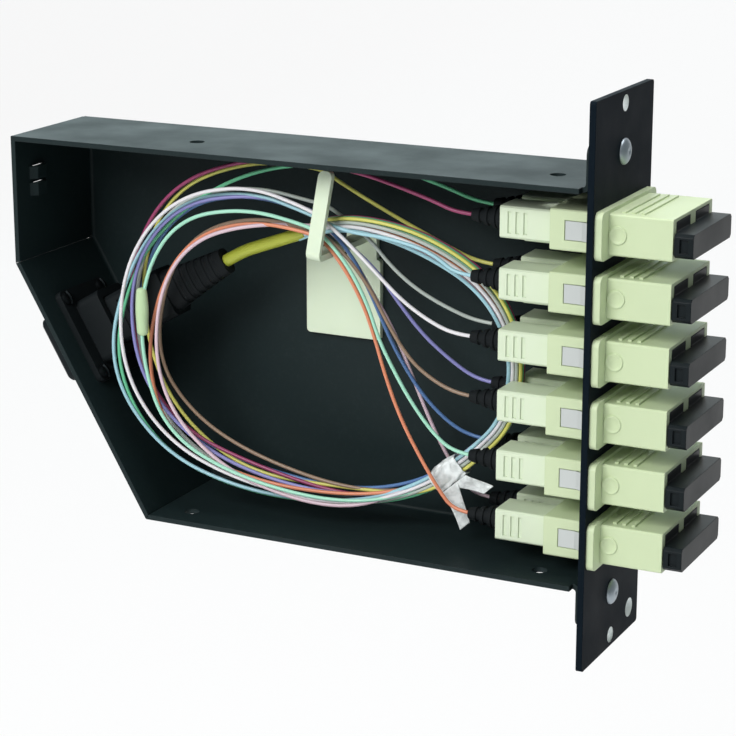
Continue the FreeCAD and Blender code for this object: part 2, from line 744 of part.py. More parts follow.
def multi_adapter():
    """The multi-fibre adapter: body through the wall, flange inside, a port on each side."""
    along = Vector(1, 0, 0)
    length = MULTI_OUT + MULTI_IN
    body = rounded_block(length, MULTI_BODY_SHORT, MULTI_BODY_LONG, MULTI_CORNER_R, along)
    body.translate(Vector(MULTI_IN - length / 2, 0, 0))
    flange = rounded_block(MULTI_FLANGE_THICK, MULTI_FLANGE_SHORT, MULTI_FLANGE_LONG,
                           FLANGE_CORNER_R, along)
    flange.translate(Vector(SHEET + MULTI_FLANGE_THICK / 2, 0, 0))
    half_s = MULTI_PORT_SHORT / 2
    half_l = MULTI_PORT_LONG / 2
    web = MULTI_WEB / 2
    ferrule_s = MULTI_FERRULE_SHORT / 2 + WINDOW_CLEAR
    ferrule_l = MULTI_FERRULE_LONG / 2 + WINDOW_CLEAR
    cuts = [
        box(web, MULTI_IN + 1, -half_s, half_s, -half_l, half_l),
        box(-MULTI_OUT - 1, -web, -half_s, half_s, -half_l, half_l),
        box(-1, 1, -ferrule_s, ferrule_s, -ferrule_l, ferrule_l),
    ]
    return slanted(fuse([body, flange]).cut(Part.makeCompound(cuts)))


def multi_plug():
    """The multi-fibre plug, with its pull ribs and its wide ferrule."""
    length = MULTI_PLUG_END - MULTI_PLUG_START
    body = bevelled_block(length, MULTI_PLUG_SHORT, MULTI_PLUG_LONG, MULTI_EDGE)
    body.translate(Vector(MULTI_PLUG_START + length / 2, 0, 0))
    half_s = MULTI_FERRULE_SHORT / 2
    half_f = MULTI_FERRULE_LONG / 2
    tip = box(0, MULTI_PLUG_START, -half_s, half_s, -half_f, half_f)
    grooves = []
    half_l = MULTI_PLUG_LONG / 2 - MULTI_GRIP_MARGIN
    for number in range(MULTI_GRIP_COUNT):
        x = MULTI_GRIP_START + GRIP_PITCH * number
        for side in (-1, 1):
            low, high = sorted((side * (MULTI_PLUG_SHORT / 2 - GRIP_DEPTH), side * MULTI_PLUG_LONG))
            grooves.append(box(x, x + GRIP_WIDTH, low, high, -half_l, half_l))
    return slanted(fuse([body, tip]).cut(Part.makeCompound(grooves)))


def multi_boot():
    """The flat tapered boot behind the multi-fibre plug."""
    step = MULTI_BOOT_DROP
    first = MULTI_BOOT_LENGTH / 3
    mid_short = MULTI_PLUG_SHORT - 3 * step
    mid_long = MULTI_PLUG_LONG - 6 * step
    neck = taper(first, MULTI_PLUG_SHORT - 2 * step, MULTI_PLUG_LONG - 4 * step,
                 mid_short, mid_long, MULTI_EDGE)
    tail = taper(MULTI_BOOT_LENGTH - first, mid_short - 2 * step, mid_long - 2 * step,
                 MULTI_BOOT_END_SHORT, MULTI_BOOT_END_LONG, MULTI_EDGE)
    neck.translate(Vector(MULTI_PLUG_END, 0, 0))
    tail.translate(Vector(MULTI_PLUG_END + first, 0, 0))
    return slanted(fuse([neck, tail]))


def boot_tip():
    """Where the multi-fibre boot ends on the port's axis."""
    return MULTI_PLUG_END + MULTI_BOOT_LENGTH


def multi_cap():
    """The cap in the multi-fibre adapter's outer port: rounded head, ridge and plug."""
    along = Vector(1, 0, 0)
    back = -MULTI_OUT - CAP_GAP
    head = rounded_block(MULTI_CAP_HEAD, MULTI_BODY_SHORT, MULTI_BODY_LONG, MULTI_CORNER_R, along)
    head.translate(Vector(back - MULTI_CAP_HEAD / 2, 0, 0))
    rim = [edge for edge in head.Edges if abs(edge.CenterOfMass.x - back + MULTI_CAP_HEAD) < 1e-6]
    head = head.makeChamfer(MULTI_CAP_EDGE, rim)
    half_s = MULTI_PORT_SHORT / 2 - MULTI_CAP_CLEAR
    half_l = MULTI_PORT_LONG / 2 - MULTI_CAP_CLEAR
    stem = box(back - 1, back + MULTI_CAP_PLUG, -half_s, half_s, -half_l, half_l)
    hollow = box(back, back + MULTI_CAP_PLUG + 1, -half_s + CAP_WALL, half_s - CAP_WALL,
                 -half_l + CAP_WALL, half_l - CAP_WALL)
    return slanted(fuse([head, stem]).cut(hollow))


def hook_clip():
    """A stick-on pad with a tongue, and a hook that reaches out and up round the fibres."""
    pad = rounded_block(PAD_SIDE, PAD_THICK, PAD_SIDE, PAD_CORNER_R, Vector(0, 1, 0))
    pad.translate(Vector(PAD_X, PANEL_Y - PAD_THICK / 2, PAD_Z))
    half = TONGUE_WIDTH / 2
    top = PAD_Z + PAD_SIDE / 2
    tongue = box(HOOK_X - half, HOOK_X + half, PANEL_Y - PAD_THICK, PANEL_Y,
                 top - 1, top + TONGUE_RISE)
    tongue = round_tongue(tongue, top + TONGUE_RISE)
    return fuse([pad, tongue, hook()])


def round_tongue(tongue, top):
    """Round the two upper corners of the pad's tongue."""
    edges = [edge for edge in tongue.Edges
             if runs_along(edge, Vector(0, 1, 0)) and abs(edge.CenterOfMass.z - top) < 1e-6]
    return tongue.makeFillet(PAD_CORNER_R, edges)


def hook():
    """The hook's arm towards the open side, its bend, and the finger that leans back."""
    root_y = PANEL_Y - PAD_THICK / 2
    bend_y = loop_point(HOOK_X, 0).y - LOOP_DEEP / 2 - HOOK_ROOM
    low = HOOK_Z - HOOK_THICK / 2
    high = HOOK_Z + HOOK_THICK / 2
    tip_y = bend_y + FINGER_BACK
    tip_z = ROOF_Z - SHEET - FINGER_CLEAR
    outline = (
        (root_y, low),
        (bend_y, low),
        (tip_y, tip_z),
        (tip_y + HOOK_THICK, tip_z),
        (bend_y + HOOK_THICK, high),
        (root_y, high),
    )
    points = [Vector(HOOK_X - HOOK_WIDTH / 2, y, z) for y, z in outline]
    shape = prism(points, Vector(HOOK_WIDTH, 0, 0))
    outer_bend = [edge for edge in shape.Edges if edge_at(edge, bend_y, low)]
    shape = shape.makeFillet(HOOK_BEND_R, outer_bend)
    tips = [edge for edge in shape.Edges if runs_along(edge, Vector(0, 1, 0))
            and abs(edge.CenterOfMass.z - tip_z) < 1e-6]
    shape = shape.makeFillet((HOOK_WIDTH - FINGER_FLAT) / 2, tips)
    shape.rotate(Vector(HOOK_X, 0, HOOK_Z), Vector(0, 1, 0), FINGER_LEAN_DEG)
    return shape


def edge_at(edge, y, z):
    """Whether an edge along X passes through the given Y and Z."""
    middle = edge.CenterOfMass
    near = abs(middle.y - y) < 1e-6 and abs(middle.z - z) < 1e-6
    return near and runs_along(edge, Vector(1, 0, 0))


def rounded_path(points, closed=False):
    """Straight runs joined by tangent arcs, as large as their two runs allow."""
    count = len(points)
    turns = range(count) if closed else range(1, count - 1)
    arcs = {i: corner_arc(points[i - 1], points[i], points[(i + 1) % count]) for i in turns}
    edges = []
    pairs = [(i, (i + 1) % count) for i in range(count if closed else count - 1)]
    for here, there in pairs:
        start = arcs[here][2] if here in arcs else points[here]
        end = arcs[there][0] if there in arcs else points[there]
        edges.append(Part.LineSegment(start, end).toShape())
        if there in arcs:
            edges.append(Part.Arc(*arcs[there][:3]).toShape())
    radii = [round(arc[3], 1) for arc in arcs.values()]
    return Part.Wire(edges), radii


def corner_arc(before, corner, after):
    """Start, middle, end and radius of the arc that rounds one corner of a route."""
    back = before - corner
    ahead = after - corner
    half = (math.pi - back.getAngle(ahead)) / 2
    reach = ARC_SHARE * min(back.Length, ahead.Length)
    radius = reach / math.tan(half)
    start = corner + back.normalize() * reach
    end = corner + ahead.normalize() * reach
    inward = ((start + end) * 0.5 - corner).normalize()
    middle = corner + inward * (radius / math.cos(half) - radius)
    return start, middle, end, radius


def tube(name, points, diameter):
    """A round tube along a route, its volume set against its section times its length."""
    wire, radii = rounded_path(points)
    start = wire.Edges[0]
    direction = start.tangentAt(start.FirstParameter)
    ring = Part.Wire(Part.makeCircle(diameter / 2, points[0], direction))
    solid = wire.makePipeShell([ring], True, False)
    report_volume(name, solid, math.pi * diameter**2 / 4 * wire.Length, radii)
    return solid


def report_volume(name, solid, expected, radii):
    """Print a swept solid's bend radii and how its volume compares with what it should be."""
    print(name, "radii", radii, "volume ratio", round(solid.Volume / expected, 4))


def loop_point(x, z):
    """A point of the loop's plane, which is turned about Z at the loop's pivot."""
    turn = Rotation(Vector(0, 0, 1), LOOP_TURN_DEG)
    return Vector(*LOOP_PIVOT) + turn.multVec(Vector(x - LOOP_PIVOT[0], 0, z))


def on_loop_plane(solid):
    """Turn a solid about Z, from the XZ plane into the loop's plane."""
    solid.translate(Vector(-LOOP_PIVOT[0], 0, 0))
    solid.rotate(Vector(0, 0, 0), Vector(0, 0, 1), LOOP_TURN_DEG)
    solid.translate(Vector(*LOOP_PIVOT))
    return solid


def fibre_loop():
    """One closed solid of the fibre loop's outer shape, an oval ring of even section."""
    points = [Vector(x, 0, z) for x, z in LOOP_ROUTE]
    wire, radii = rounded_path(points, closed=True)
    start = (points[0] + points[1]) * 0.5
    section = box(-LOOP_WIDE / 2, LOOP_WIDE / 2, -LOOP_DEEP / 2, LOOP_DEEP / 2, -0.5, 0.5)
    section = section.makeChamfer(LOOP_EDGE, long_edges(section, Vector(0, 0, 1)))
    section.translate(Vector(start.x, 0, start.z + 0.5))
    faces = [face for face in section.Faces if abs(face.CenterOfMass.z - start.z) < 1e-6]
    edges = wire.Edges
    path = Part.Wire([split_run(edges[0])[1], *edges[1:], split_run(edges[0])[0]])
    solid = path.makePipeShell([faces[0].OuterWire], True, False)
    report_volume("fibre_loop", solid, faces[0].Area * wire.Length, radii)
    return on_loop_plane(solid)


def split_run(edge):
    """Both halves of a straight edge."""
    start, end = (vertex.Point for vertex in edge.Vertexes)
    middle = (start + end) * 0.5
    return Part.LineSegment(start, middle).toShape(), Part.LineSegment(middle, end).toShape()


def fan_sleeve_points():
    """The yellow sleeve's route: straight out of the boot, then up to its free end."""
    start = port_point(boot_tip())
    return [start, start + inward_normal() * FAN_SLEEVE_STRAIGHT, Vector(*FAN_SLEEVE_END)]


def lead_points():
    """The bundle's route from the yellow sleeve's end, first straight on, into the loop."""
    before, start = fan_sleeve_points()[1:]
    onward = (start - before).normalize()
    return [start, start + onward * LEAD_STRAIGHT, Vector(*LEAD_END)]


def tail_points(row, start_y, y):
    """One fibre's route from the loop to its boot, Y shared out along X."""
    start = Vector(TAIL_START_X, start_y, TAIL_TOP_Z - TAIL_STEP_Z * row)
    end = Vector(BOOT_END_X, y, row_z(row))
    straight = end - Vector(TAIL_STRAIGHT, 0, 0)
    points = [start]
    for x, z in TAIL_ROUTES[row]:
        share = (x - start.x) / (straight.x - start.x)
        points.append(Vector(x, start_y + share * (y - start_y), z))
    return [*points, straight, end]


def fibre_tails(row):
    """The near and the far fibre of one row, as two plain tubes."""
    tails = []
    for start_y, y in zip((TAIL_NEAR_Y, TAIL_FAR_Y), port_sides()):
        points = tail_points(row, start_y, y)
        tails.append(tube(f"fibre_tails_{row + 1}", points, FIBRE_D))
    return Part.makeCompound(tails)


def tape_wrap():
    """Tape round the loop, as a flat sleeve with one loose end."""
    start = loop_point(*LOOP_ROUTE[TAPE_RUN_INDEX])
    end = loop_point(*LOOP_ROUTE[TAPE_RUN_INDEX + 1])
    inner_w = LOOP_WIDE + 2 * TAPE_SIDE_CLEAR
    inner_d = LOOP_DEEP + 2 * TAPE_FACE_CLEAR
    outer = rounded_block(inner_w + 2 * TAPE_WALL, inner_d + 2 * TAPE_WALL, TAPE_LENGTH,
                          TAPE_R, Vector(0, 0, 1))
    inner = box(-inner_w / 2, inner_w / 2, -inner_d / 2, inner_d / 2, -TAPE_LENGTH, TAPE_LENGTH)
    back = inner_d / 2 + TAPE_WALL
    flag = box(0, FLAG_LENGTH + inner_w / 2, back - FLAG_THICK, back,
               -FLAG_WIDTH / 2, FLAG_WIDTH / 2)
    flag.rotate(Vector(0, 0, 0), Vector(0, 1, 0), -FLAG_FALL_DEG / 2)
    wrap = fuse([outer.cut(inner), flag.cut(inner)])
    run = end - start
    lean = math.degrees(math.atan2(run.x, run.z)) + 180
    wrap.rotate(Vector(0, 0, 0), Vector(0, 1, 0), lean)
    wrap.rotate(Vector(0, 0, 0), Vector(0, 0, 1), LOOP_TURN_DEG)
    wrap.translate(start + run * TAPE_SHARE)
    return wrap


def fibre_binder():
    """A short soft binder on the loop's near strands, beside the port."""
    low, high = LOOP_ROUTE[BINDER_RUN_INDEX:BINDER_RUN_INDEX + 2]
    size_x, size_y, size_z = BINDER_SIZE
    block = rounded_block(size_x, size_y, size_z, BINDER_R, Vector(0, 0, 1))
    near = -LOOP_DEEP / 2 - BINDER_CLEAR - size_y / 2
    block.translate(Vector(low[0] + BINDER_SHIFT, near, (low[1] + high[1]) / 2 + BINDER_RISE))
    return on_loop_plane(block)


def build_nodes():
    """Every piece of the cassette, by name."""
    places = [(row, y) for row in range(ROWS) for y in port_sides()]
    nodes = {
        "housing": housing(),
        "face_plate": face_plate(),
        "plate_rivets": Part.makeCompound([rivet(RIVET_Z), rivet(-RIVET_Z)]),
        "retention_springs": Part.makeCompound(
            [spring(row, side) for row in range(ROWS) for side in (-1, 1)]),
        "ferrules": Part.makeCompound([ferrule(row, y) for row, y in places]),
        "multi_fibre_adapter": multi_adapter(),
        "multi_fibre_plug": multi_plug(),
        "multi_fibre_boot": multi_boot(),
        "multi_fibre_cap": multi_cap(),
        "fan_out_sleeve": tube("fan_out_sleeve", fan_sleeve_points(), SLEEVE_TUBE_D),
        "fibre_lead": tube("fibre_lead", lead_points(), LEAD_D),
        "fibre_loop": fibre_loop(),
        "hook_clip": hook_clip(),
        "tape_wrap": tape_wrap(),
        "fibre_binder": fibre_binder(),
    }
    near_y, far_y = port_sides()
    for row in range(ROWS):
        number = row + 1
        nodes[f"adapter_{number}"] = adapter(row)
        nodes[f"dust_cap_{number}"] = dust_cap(row)
        nodes[f"plug_near_{number}"] = plug(row, near_y)
        nodes[f"plug_far_{number}"] = plug(row, far_y)
        nodes[f"boot_near_{number}"] = boot(row, near_y)
        nodes[f"boot_far_{number}"] = boot(row, far_y)
        nodes[f"fibre_tails_{number}"] = fibre_tails(row)
    return nodes


def main():
    """Build every piece and write it as its own STEP file."""
    os.makedirs("parts", exist_ok=True)
    for name, shape in build_nodes().items():
        if not shape.isValid():
            raise RuntimeError(f"{name} is not a valid solid")
        shape.exportStep(f"parts/{name}.step")
    print("built")


main()
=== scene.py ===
"""Looks of a fibre cassette: powder-coated tray, cream adapters, black caps, coloured fibres.

Metres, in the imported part's own frame: X out of the face plate, Y from the open side to the
back panel, Z up. Surfaces are whole numpy arrays over two parameters.
"""

import logging
import math
from dataclasses import dataclass
from enum import Enum

import bmesh
import bpy
import numpy as np
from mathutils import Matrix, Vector
from numpy.typing import NDArray


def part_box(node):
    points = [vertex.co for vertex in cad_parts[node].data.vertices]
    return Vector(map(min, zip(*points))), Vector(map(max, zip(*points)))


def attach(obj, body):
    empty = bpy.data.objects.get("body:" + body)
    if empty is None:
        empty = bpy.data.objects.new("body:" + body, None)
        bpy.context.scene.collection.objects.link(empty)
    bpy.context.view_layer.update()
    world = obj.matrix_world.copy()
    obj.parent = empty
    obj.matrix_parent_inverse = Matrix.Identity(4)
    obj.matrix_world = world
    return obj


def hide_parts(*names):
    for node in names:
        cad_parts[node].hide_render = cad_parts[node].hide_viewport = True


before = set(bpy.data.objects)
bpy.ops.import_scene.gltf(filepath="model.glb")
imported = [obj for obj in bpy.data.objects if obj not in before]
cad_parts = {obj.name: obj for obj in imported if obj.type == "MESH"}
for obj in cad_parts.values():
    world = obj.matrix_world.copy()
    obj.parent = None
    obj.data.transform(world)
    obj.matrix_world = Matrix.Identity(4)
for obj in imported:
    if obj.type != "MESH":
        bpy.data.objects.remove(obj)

Array = NDArray[np.float64]
MM = 0.001
ROOT = "cassette"
X_AXIS = np.array([1.0, 0.0, 0.0])
Y_AXIS = np.array([0.0, 1.0, 0.0])
PORT_HALF_PITCH = 6.35 * MM
WELD_DISTANCE = 1e-6
log = logging.getLogger("fibre_cassette")


def linear(code: str, alpha: float = 1.0) -> tuple[float, float, float, float]:
    """Turn an sRGB hex colour to linear light.

    Args:
        code: Six hex digits after a hash.
        alpha: Opacity from 0 to 1.

    Returns:
        Red, green, blue and alpha, linear.
    """
    parts = [int(code[i:i + 2], 16) / 255 for i in (1, 3, 5)]
    red, green, blue = (c / 12.92 if c <= 0.04045 else ((c + 0.055) / 1.055) ** 2.4 for c in parts)
    return red, green, blue, alpha


def add_node(
    tree: bpy.types.NodeTree,
    kind: str,
    settings: dict[str, object] | None = None,
    inputs: dict[str | int, object] | None = None,
) -> bpy.types.Node:
    """Add a shader node with its settings, values and links.

    Args:
        tree: The material's or world's node tree.
        kind: The node's Blender type name.
        settings: Attributes of the node, by name.
        inputs: Values for its sockets, or sockets to link them to, by name or place.

    Returns:
        The new node.
    """
    node = tree.nodes.new(kind)
    for key, value in (settings or {}).items():
        setattr(node, key, value)
    for key, value in (inputs or {}).items():
        socket = node.inputs[key]
        if isinstance(value, bpy.types.NodeSocket):
            tree.links.new(value, socket)
        else:
            socket.default_value = value
    return node


def per_metre(size_mm: float) -> float:
    """Noise scale at which one cell of the pattern is size_mm wide."""
    return 1.0 / (size_mm * MM)


@dataclass(frozen=True)
class Finish:
    """A surface finish: one material, made once and shared.

    Attributes:
        name: The material's name, for what the real one is.
        colour: Base colour, sRGB hex.
        roughness: Mean roughness of the surface.
        ior: Index of refraction.
        grain_mm: Width of the surface grain that the bump draws.
        grain_depth_mm: Height of that grain.
        mottle: Share by which the colour drifts from place to place.
        edge_mm: Radius at which sharp edges catch the light, or 0.
        gloss: Strength of the clear reflection, where 0.5 is a smooth plastic's.
    """

    name: str
    colour: str
    roughness: float
    ior: float = 1.5
    grain_mm: float = 0.8
    grain_depth_mm: float = 0.02
    mottle: float = 0.06
    edge_mm: float = 0.0
    gloss: float = 0.5

    def material(self) -> bpy.types.Material:
        """Return the finish's material, building it the first time."""
        found = bpy.data.materials.get(self.name)
        if found:
            return found
        made = bpy.data.materials.new(self.name)
        made.use_nodes = True
        made.diffuse_color = linear(self.colour)
        tree = made.node_tree
        shader = tree.nodes["Principled BSDF"]
        shader.inputs["IOR"].default_value = self.ior
        shader.inputs["Roughness"].default_value = self.roughness
        shader.inputs["Specular IOR Level"].default_value = self.gloss
        self.dress(tree, shader)
        return made

    def dress(self, tree: bpy.types.NodeTree, shader: bpy.types.Node) -> None:
        """Link colour drift, roughness drift and grain to the shader.

        Args:
            tree: The material's node tree.
            shader: Its Principled BSDF.
        """
        place = add_node(tree, "ShaderNodeTexCoord").outputs["Object"]
        drift = add_node(tree, "ShaderNodeTexNoise", {},
                         {"Vector": place, "Scale": per_metre(14.0), "Detail": 4.0}).outputs["Fac"]
        self.tint(tree, shader, drift)
        rough = add_node(tree, "ShaderNodeMapRange", {}, {
            "Value": drift, "From Min": 0.3, "From Max": 0.7,
            "To Min": self.roughness * 0.88, "To Max": min(self.roughness * 1.12, 1.0)})
        tree.links.new(rough.outputs["Result"], shader.inputs["Roughness"])
        self.emboss(tree, shader, self.grain(tree, place))

    def tint(self, tree: bpy.types.NodeTree, shader: bpy.types.Node,
             drift: bpy.types.NodeSocket) -> None:
        """Let the base colour drift: colour * (1 - mottle) to colour * (1 + mottle)."""
        red, green, blue, _ = linear(self.colour)
        low, high = 1 - self.mottle, 1 + self.mottle
        mix = add_node(tree, "ShaderNodeMix", {"data_type": "RGBA"}, {
            0: drift,
            6: (red * low, green * low, blue * low, 1.0),
            7: (min(red * high, 1), min(green * high, 1), min(blue * high, 1), 1.0)})
        tree.links.new(mix.outputs[2], shader.inputs["Base Color"])

    def grain(self, tree: bpy.types.NodeTree,
              place: bpy.types.NodeSocket) -> bpy.types.NodeSocket:
        """Return the height of the surface grain, from 0 to 1."""
        return add_node(tree, "ShaderNodeTexNoise", {}, {
            "Vector": place, "Scale": per_metre(self.grain_mm), "Detail": 3.0}).outputs["Fac"]

    def emboss(self, tree: bpy.types.NodeTree, shader: bpy.types.Node,
               height: bpy.types.NodeSocket) -> None:
        """Turn a height into the shader's normal, over softened edges where there are any."""
        inputs = {"Height": height, "Strength": 1.0, "Distance": self.grain_depth_mm * MM}
        if self.edge_mm:
            soft = add_node(tree, "ShaderNodeBevel", {"samples": 4},
                            {"Radius": self.edge_mm * MM})
            inputs["Normal"] = soft.outputs["Normal"]
        bump = add_node(tree, "ShaderNodeBump", {}, inputs)
        tree.links.new(bump.outputs["Normal"], shader.inputs["Normal"])


@dataclass(frozen=True)
class PowderCoat(Finish):
    """Baked polyester powder on steel: fine orange peel, with grey dust in its hollows.

    Attributes:
        dust: Colour of the dust.
        dust_share: How much of it lies in the hollows.
        bare_wall_highlights: Holes with bare steel walls that get a painted highlight, each as Y,
            Z and radius in metres.
    """

    dust: str = "#5A6668"
    dust_share: float = 0.07
    bare_wall_highlights: tuple[tuple[float, float, float], ...] = ()

    def tint(self, tree: bpy.types.NodeTree, shader: bpy.types.Node,
             drift: bpy.types.NodeSocket) -> None:
        """Mix a little dust over the coat where fine specks and broad patches meet, and paint a
        near-white highlight inside each listed hole.
        """
        place = add_node(tree, "ShaderNodeTexCoord").outputs["Object"]
        speck = add_node(tree, "ShaderNodeTexNoise", {}, {
            "Vector": place, "Scale": per_metre(1.1), "Detail": 6.0, "Roughness": 0.7})
        share = add_node(tree, "ShaderNodeMapRange", {}, {
            "Value": speck.outputs["Fac"], "From Min": 0.5, "From Max": 0.72,
            "To Min": 0.0, "To Max": self.dust_share})
        patch = add_node(tree, "ShaderNodeMath", {"operation": "MULTIPLY"},
                         {0: share.outputs["Result"], 1: drift})
        mix = add_node(tree, "ShaderNodeMix", {"data_type": "RGBA"}, {
            0: patch.outputs["Value"], 6: linear(self.colour), 7: linear(self.dust)})
        colour = mix.outputs[2]
        # Painted highlight: within each hole's radius the base colour turns near-white, for the
        # light that the bare steel walls catch.
        for y, z, radius in self.bare_wall_highlights:
            off = add_node(tree, "ShaderNodeVectorMath", {"operation": "SUBTRACT"},
                           {0: place, 1: (0.0, y, z)})
            flat = add_node(tree, "ShaderNodeVectorMath", {"operation": "MULTIPLY"},
                            {0: off.outputs["Vector"], 1: (0.0, 1.0, 1.0)})
            far = add_node(tree, "ShaderNodeVectorMath", {"operation": "LENGTH"},
                           {0: flat.outputs["Vector"]})
            inside = add_node(tree, "ShaderNodeMath", {"operation": "LESS_THAN"},
                              {0: far.outputs["Value"], 1: radius})
            hole_highlight = add_node(tree, "ShaderNodeMix", {"data_type": "RGBA"}, {
                0: inside.outputs["Value"], 6: colour, 7: linear("#E4E9E8")})
            colour = hole_highlight.outputs[2]
        tree.links.new(colour, shader.inputs["Base Color"])


@dataclass(frozen=True)
class DrawnMetal(Finish):
    """Rolled or drawn metal: fine lines along one axis, bright and even."""

    line_stretch: tuple[float, float, float] = (0.05, 1.0, 1.0)

    def grain(self, tree: bpy.types.NodeTree,
              place: bpy.types.NodeSocket) -> bpy.types.NodeSocket:
        """Return noise drawn out into lines along the stretched axis."""
        drawn = add_node(tree, "ShaderNodeMapping", {},
                         {"Vector": place, "Scale": self.line_stretch})
        return add_node(tree, "ShaderNodeTexNoise", {}, {
            "Vector": drawn.outputs["Vector"], "Scale": per_metre(self.grain_mm),
            "Detail": 2.0}).outputs["Fac"]

    def dress(self, tree: bpy.types.NodeTree, shader: bpy.types.Node) -> None:
        """Dress as any finish does, with the shader set to metal."""
        shader.inputs["Metallic"].default_value = 1.0
        super().dress(tree, shader)


@dataclass(frozen=True)
class ClearFilm(Finish):
    """Pressed clear adhesive tape: milky where it has lifted, with soft creases."""

    opacity: float = 0.6

    def dress(self, tree: bpy.types.NodeTree, shader: bpy.types.Node) -> None:
        """Dress as any finish does, and let light through by a crease-wise share."""
        super().dress(tree, shader)
        place = add_node(tree, "ShaderNodeTexCoord").outputs["Object"]
        milk = add_node(tree, "ShaderNodeTexNoise", {}, {
            "Vector": place, "Scale": per_metre(2.5), "Detail": 3.0, "Distortion": 0.6})
        share = add_node(tree, "ShaderNodeMapRange", {}, {
            "Value": milk.outputs["Fac"], "From Min": 0.35, "From Max": 0.65,
            "To Min": self.opacity * 0.7, "To Max": min(self.opacity * 1.35, 1.0)})
        tree.links.new(share.outputs["Result"], shader.inputs["Alpha"])


@dataclass(frozen=True)
class GlowPlastic(Finish):
    """Moulded nylon or soft vinyl that lets a little light in: short subsurface reach."""

    depth_mm: float = 0.5
    weight: float = 0.15

    def dress(self, tree: bpy.types.NodeTree, shader: bpy.types.Node) -> None:
        """Dress as any finish does, with a little light under the skin."""
        shader.inputs["Subsurface Weight"].default_value = self.weight
        shader.inputs["Subsurface Radius"].default_value = (1.0, 0.9, 0.7)
        shader.inputs["Subsurface Scale"].default_value = self.depth_mm * MM
        super().dress(tree, shader)


# Polyester powder coat, fine texture: satin black with a green-grey cast where light rakes it.
# The real orange peel is about 0.3 mm and is drawn at 0.7 mm so that it shows. Its hollows
# trap the clear reflection, so the gloss is low. The screw holes were drilled after coating,
# and their bare steel walls get a painted highlight: a near-white base colour that stands in
# for the light they catch.
TRAY_COAT = PowderCoat("powder_coat_black_steel_tray", "#1A2627", 0.50, grain_mm=0.7,
                       grain_depth_mm=0.012, edge_mm=0.35, gloss=0.17)
PLATE_COAT = PowderCoat("powder_coat_black_steel_plate", "#0C161E", 0.55, grain_mm=0.7,
                        grain_depth_mm=0.010, edge_mm=0.3, gloss=0.04, dust_share=0.03,
                        bare_wall_highlights=((0.0, 62.2 * MM, 1.85 * MM), (0.0, -62.2 * MM, 1.85 * MM),
                              (12.2 * MM, -59.7 * MM, 2.3 * MM)))
# Glass-filled PBT, injection moulded: warm cream, satin, with a faint flow mottle.
ADAPTER_PBT = GlowPlastic("moulded_cream_pbt_adapter", "#C9D7B0", 0.46, grain_mm=0.6,
                          grain_depth_mm=0.008, mottle=0.04, edge_mm=0.25, gloss=0.35,
                          depth_mm=0.4, weight=0.08)
# The plugs are a whiter moulding of the same plastic.
PLUG_PBT = GlowPlastic("moulded_ivory_pbt_plug", "#D5E1C6", 0.44, grain_mm=0.6,
                       grain_depth_mm=0.008, mottle=0.03, edge_mm=0.2, gloss=0.35,
                       depth_mm=0.4, weight=0.08)
# Polypropylene, moulded against polished steel: blue-black with a soft sheen.
CAP_PP = Finish("moulded_black_polypropylene_cap", "#10181B", 0.4, ior=1.49, grain_mm=1.0,
                grain_depth_mm=0.006, mottle=0.1, edge_mm=0.3, gloss=0.16)
# Glass-filled nylon housings: matt black.
PORT_NYLON = Finish("moulded_black_nylon_port", "#14191B", 0.55, grain_mm=0.6,
                    grain_depth_mm=0.012, mottle=0.1, edge_mm=0.25, gloss=0.2)
# Thermoplastic elastomer: a soft matt black that scatters light at its ribs.
BOOT_TPE = Finish("black_elastomer_boot", "#15191B", 0.7, grain_mm=0.5,
                  grain_depth_mm=0.015, mottle=0.08, gloss=0.15)
# Zirconia: hard, dense and polished white.
ZIRCONIA = Finish("polished_zirconia_ferrule", "#F0F0EA", 0.15, ior=2.1, grain_mm=0.4,
                  grain_depth_mm=0.001, mottle=0.01)
# Cold-rolled stainless spring strip: pale grey, with lines along X from rolling.
SPRING_STEEL = DrawnMetal("rolled_stainless_spring", "#D3D8D6", 0.42, grain_mm=0.25,
                          grain_depth_mm=0.003)
# Aluminium blind rivets: grey, a little dulled.
RIVET_ALU = DrawnMetal("headed_aluminium_rivet", "#A3ADB4", 0.45, grain_mm=0.5,
                       grain_depth_mm=0.006, line_stretch=(1.0, 1.0, 1.0))
# Blackened steel screws.
SCREW_STEEL = DrawnMetal("blackened_steel_screw", "#24282A", 0.5, grain_mm=0.4,
                         grain_depth_mm=0.004, line_stretch=(1.0, 1.0, 1.0))
# Natural nylon 66, moulded: pale green-white, and light goes a little way in.
HOOK_NYLON = GlowPlastic("moulded_natural_nylon_hook", "#DDEAD0", 0.48, grain_mm=0.7,
                         grain_depth_mm=0.01, mottle=0.03, edge_mm=0.25, gloss=0.35,
                         depth_mm=0.8, weight=0.2)
# Extruded vinyl tube: yellow-green, satin, slightly see-through.
SLEEVE_VINYL = GlowPlastic("extruded_yellow_vinyl_sleeve", "#ADB53E", 0.38, grain_mm=0.5,
                           grain_depth_mm=0.01, mottle=0.05, depth_mm=0.6, weight=0.2)
# Clear polypropylene tape: milky white over the fibres.
TAPE_FILM = ClearFilm("clear_adhesive_tape", "#EEF3F2", 0.28, grain_mm=1.6,
                      grain_depth_mm=0.12, mottle=0.03, opacity=0.74)
# Cut silicone tube used as a binder: pale green-white and matt.
BINDER_SILICONE = GlowPlastic("cut_silicone_binder", "#B9D2A6", 0.55, grain_mm=0.8,
                              grain_depth_mm=0.02, mottle=0.05, depth_mm=0.8, weight=0.25)


class Side(Enum):
    """The two ports of a duplex adapter: the near one is at the tray's open side."""

    NEAR = -PORT_HALF_PITCH
    FAR = PORT_HALF_PITCH


@dataclass(frozen=True)
class Fibre:
    """One tight-buffered fibre: the row and port it serves, and its coat's colour."""

    row: int
    side: Side
    hue: str
    colour: str

    def finish(self) -> Finish:
        """Extruded vinyl coat, 0.9 mm: smooth, satin and evenly dyed."""
        return GlowPlastic(f"extruded_vinyl_coat_{self.hue}", self.colour, 0.36, grain_mm=0.6,
                           grain_depth_mm=0.006, mottle=0.04, depth_mm=0.3, weight=0.1)


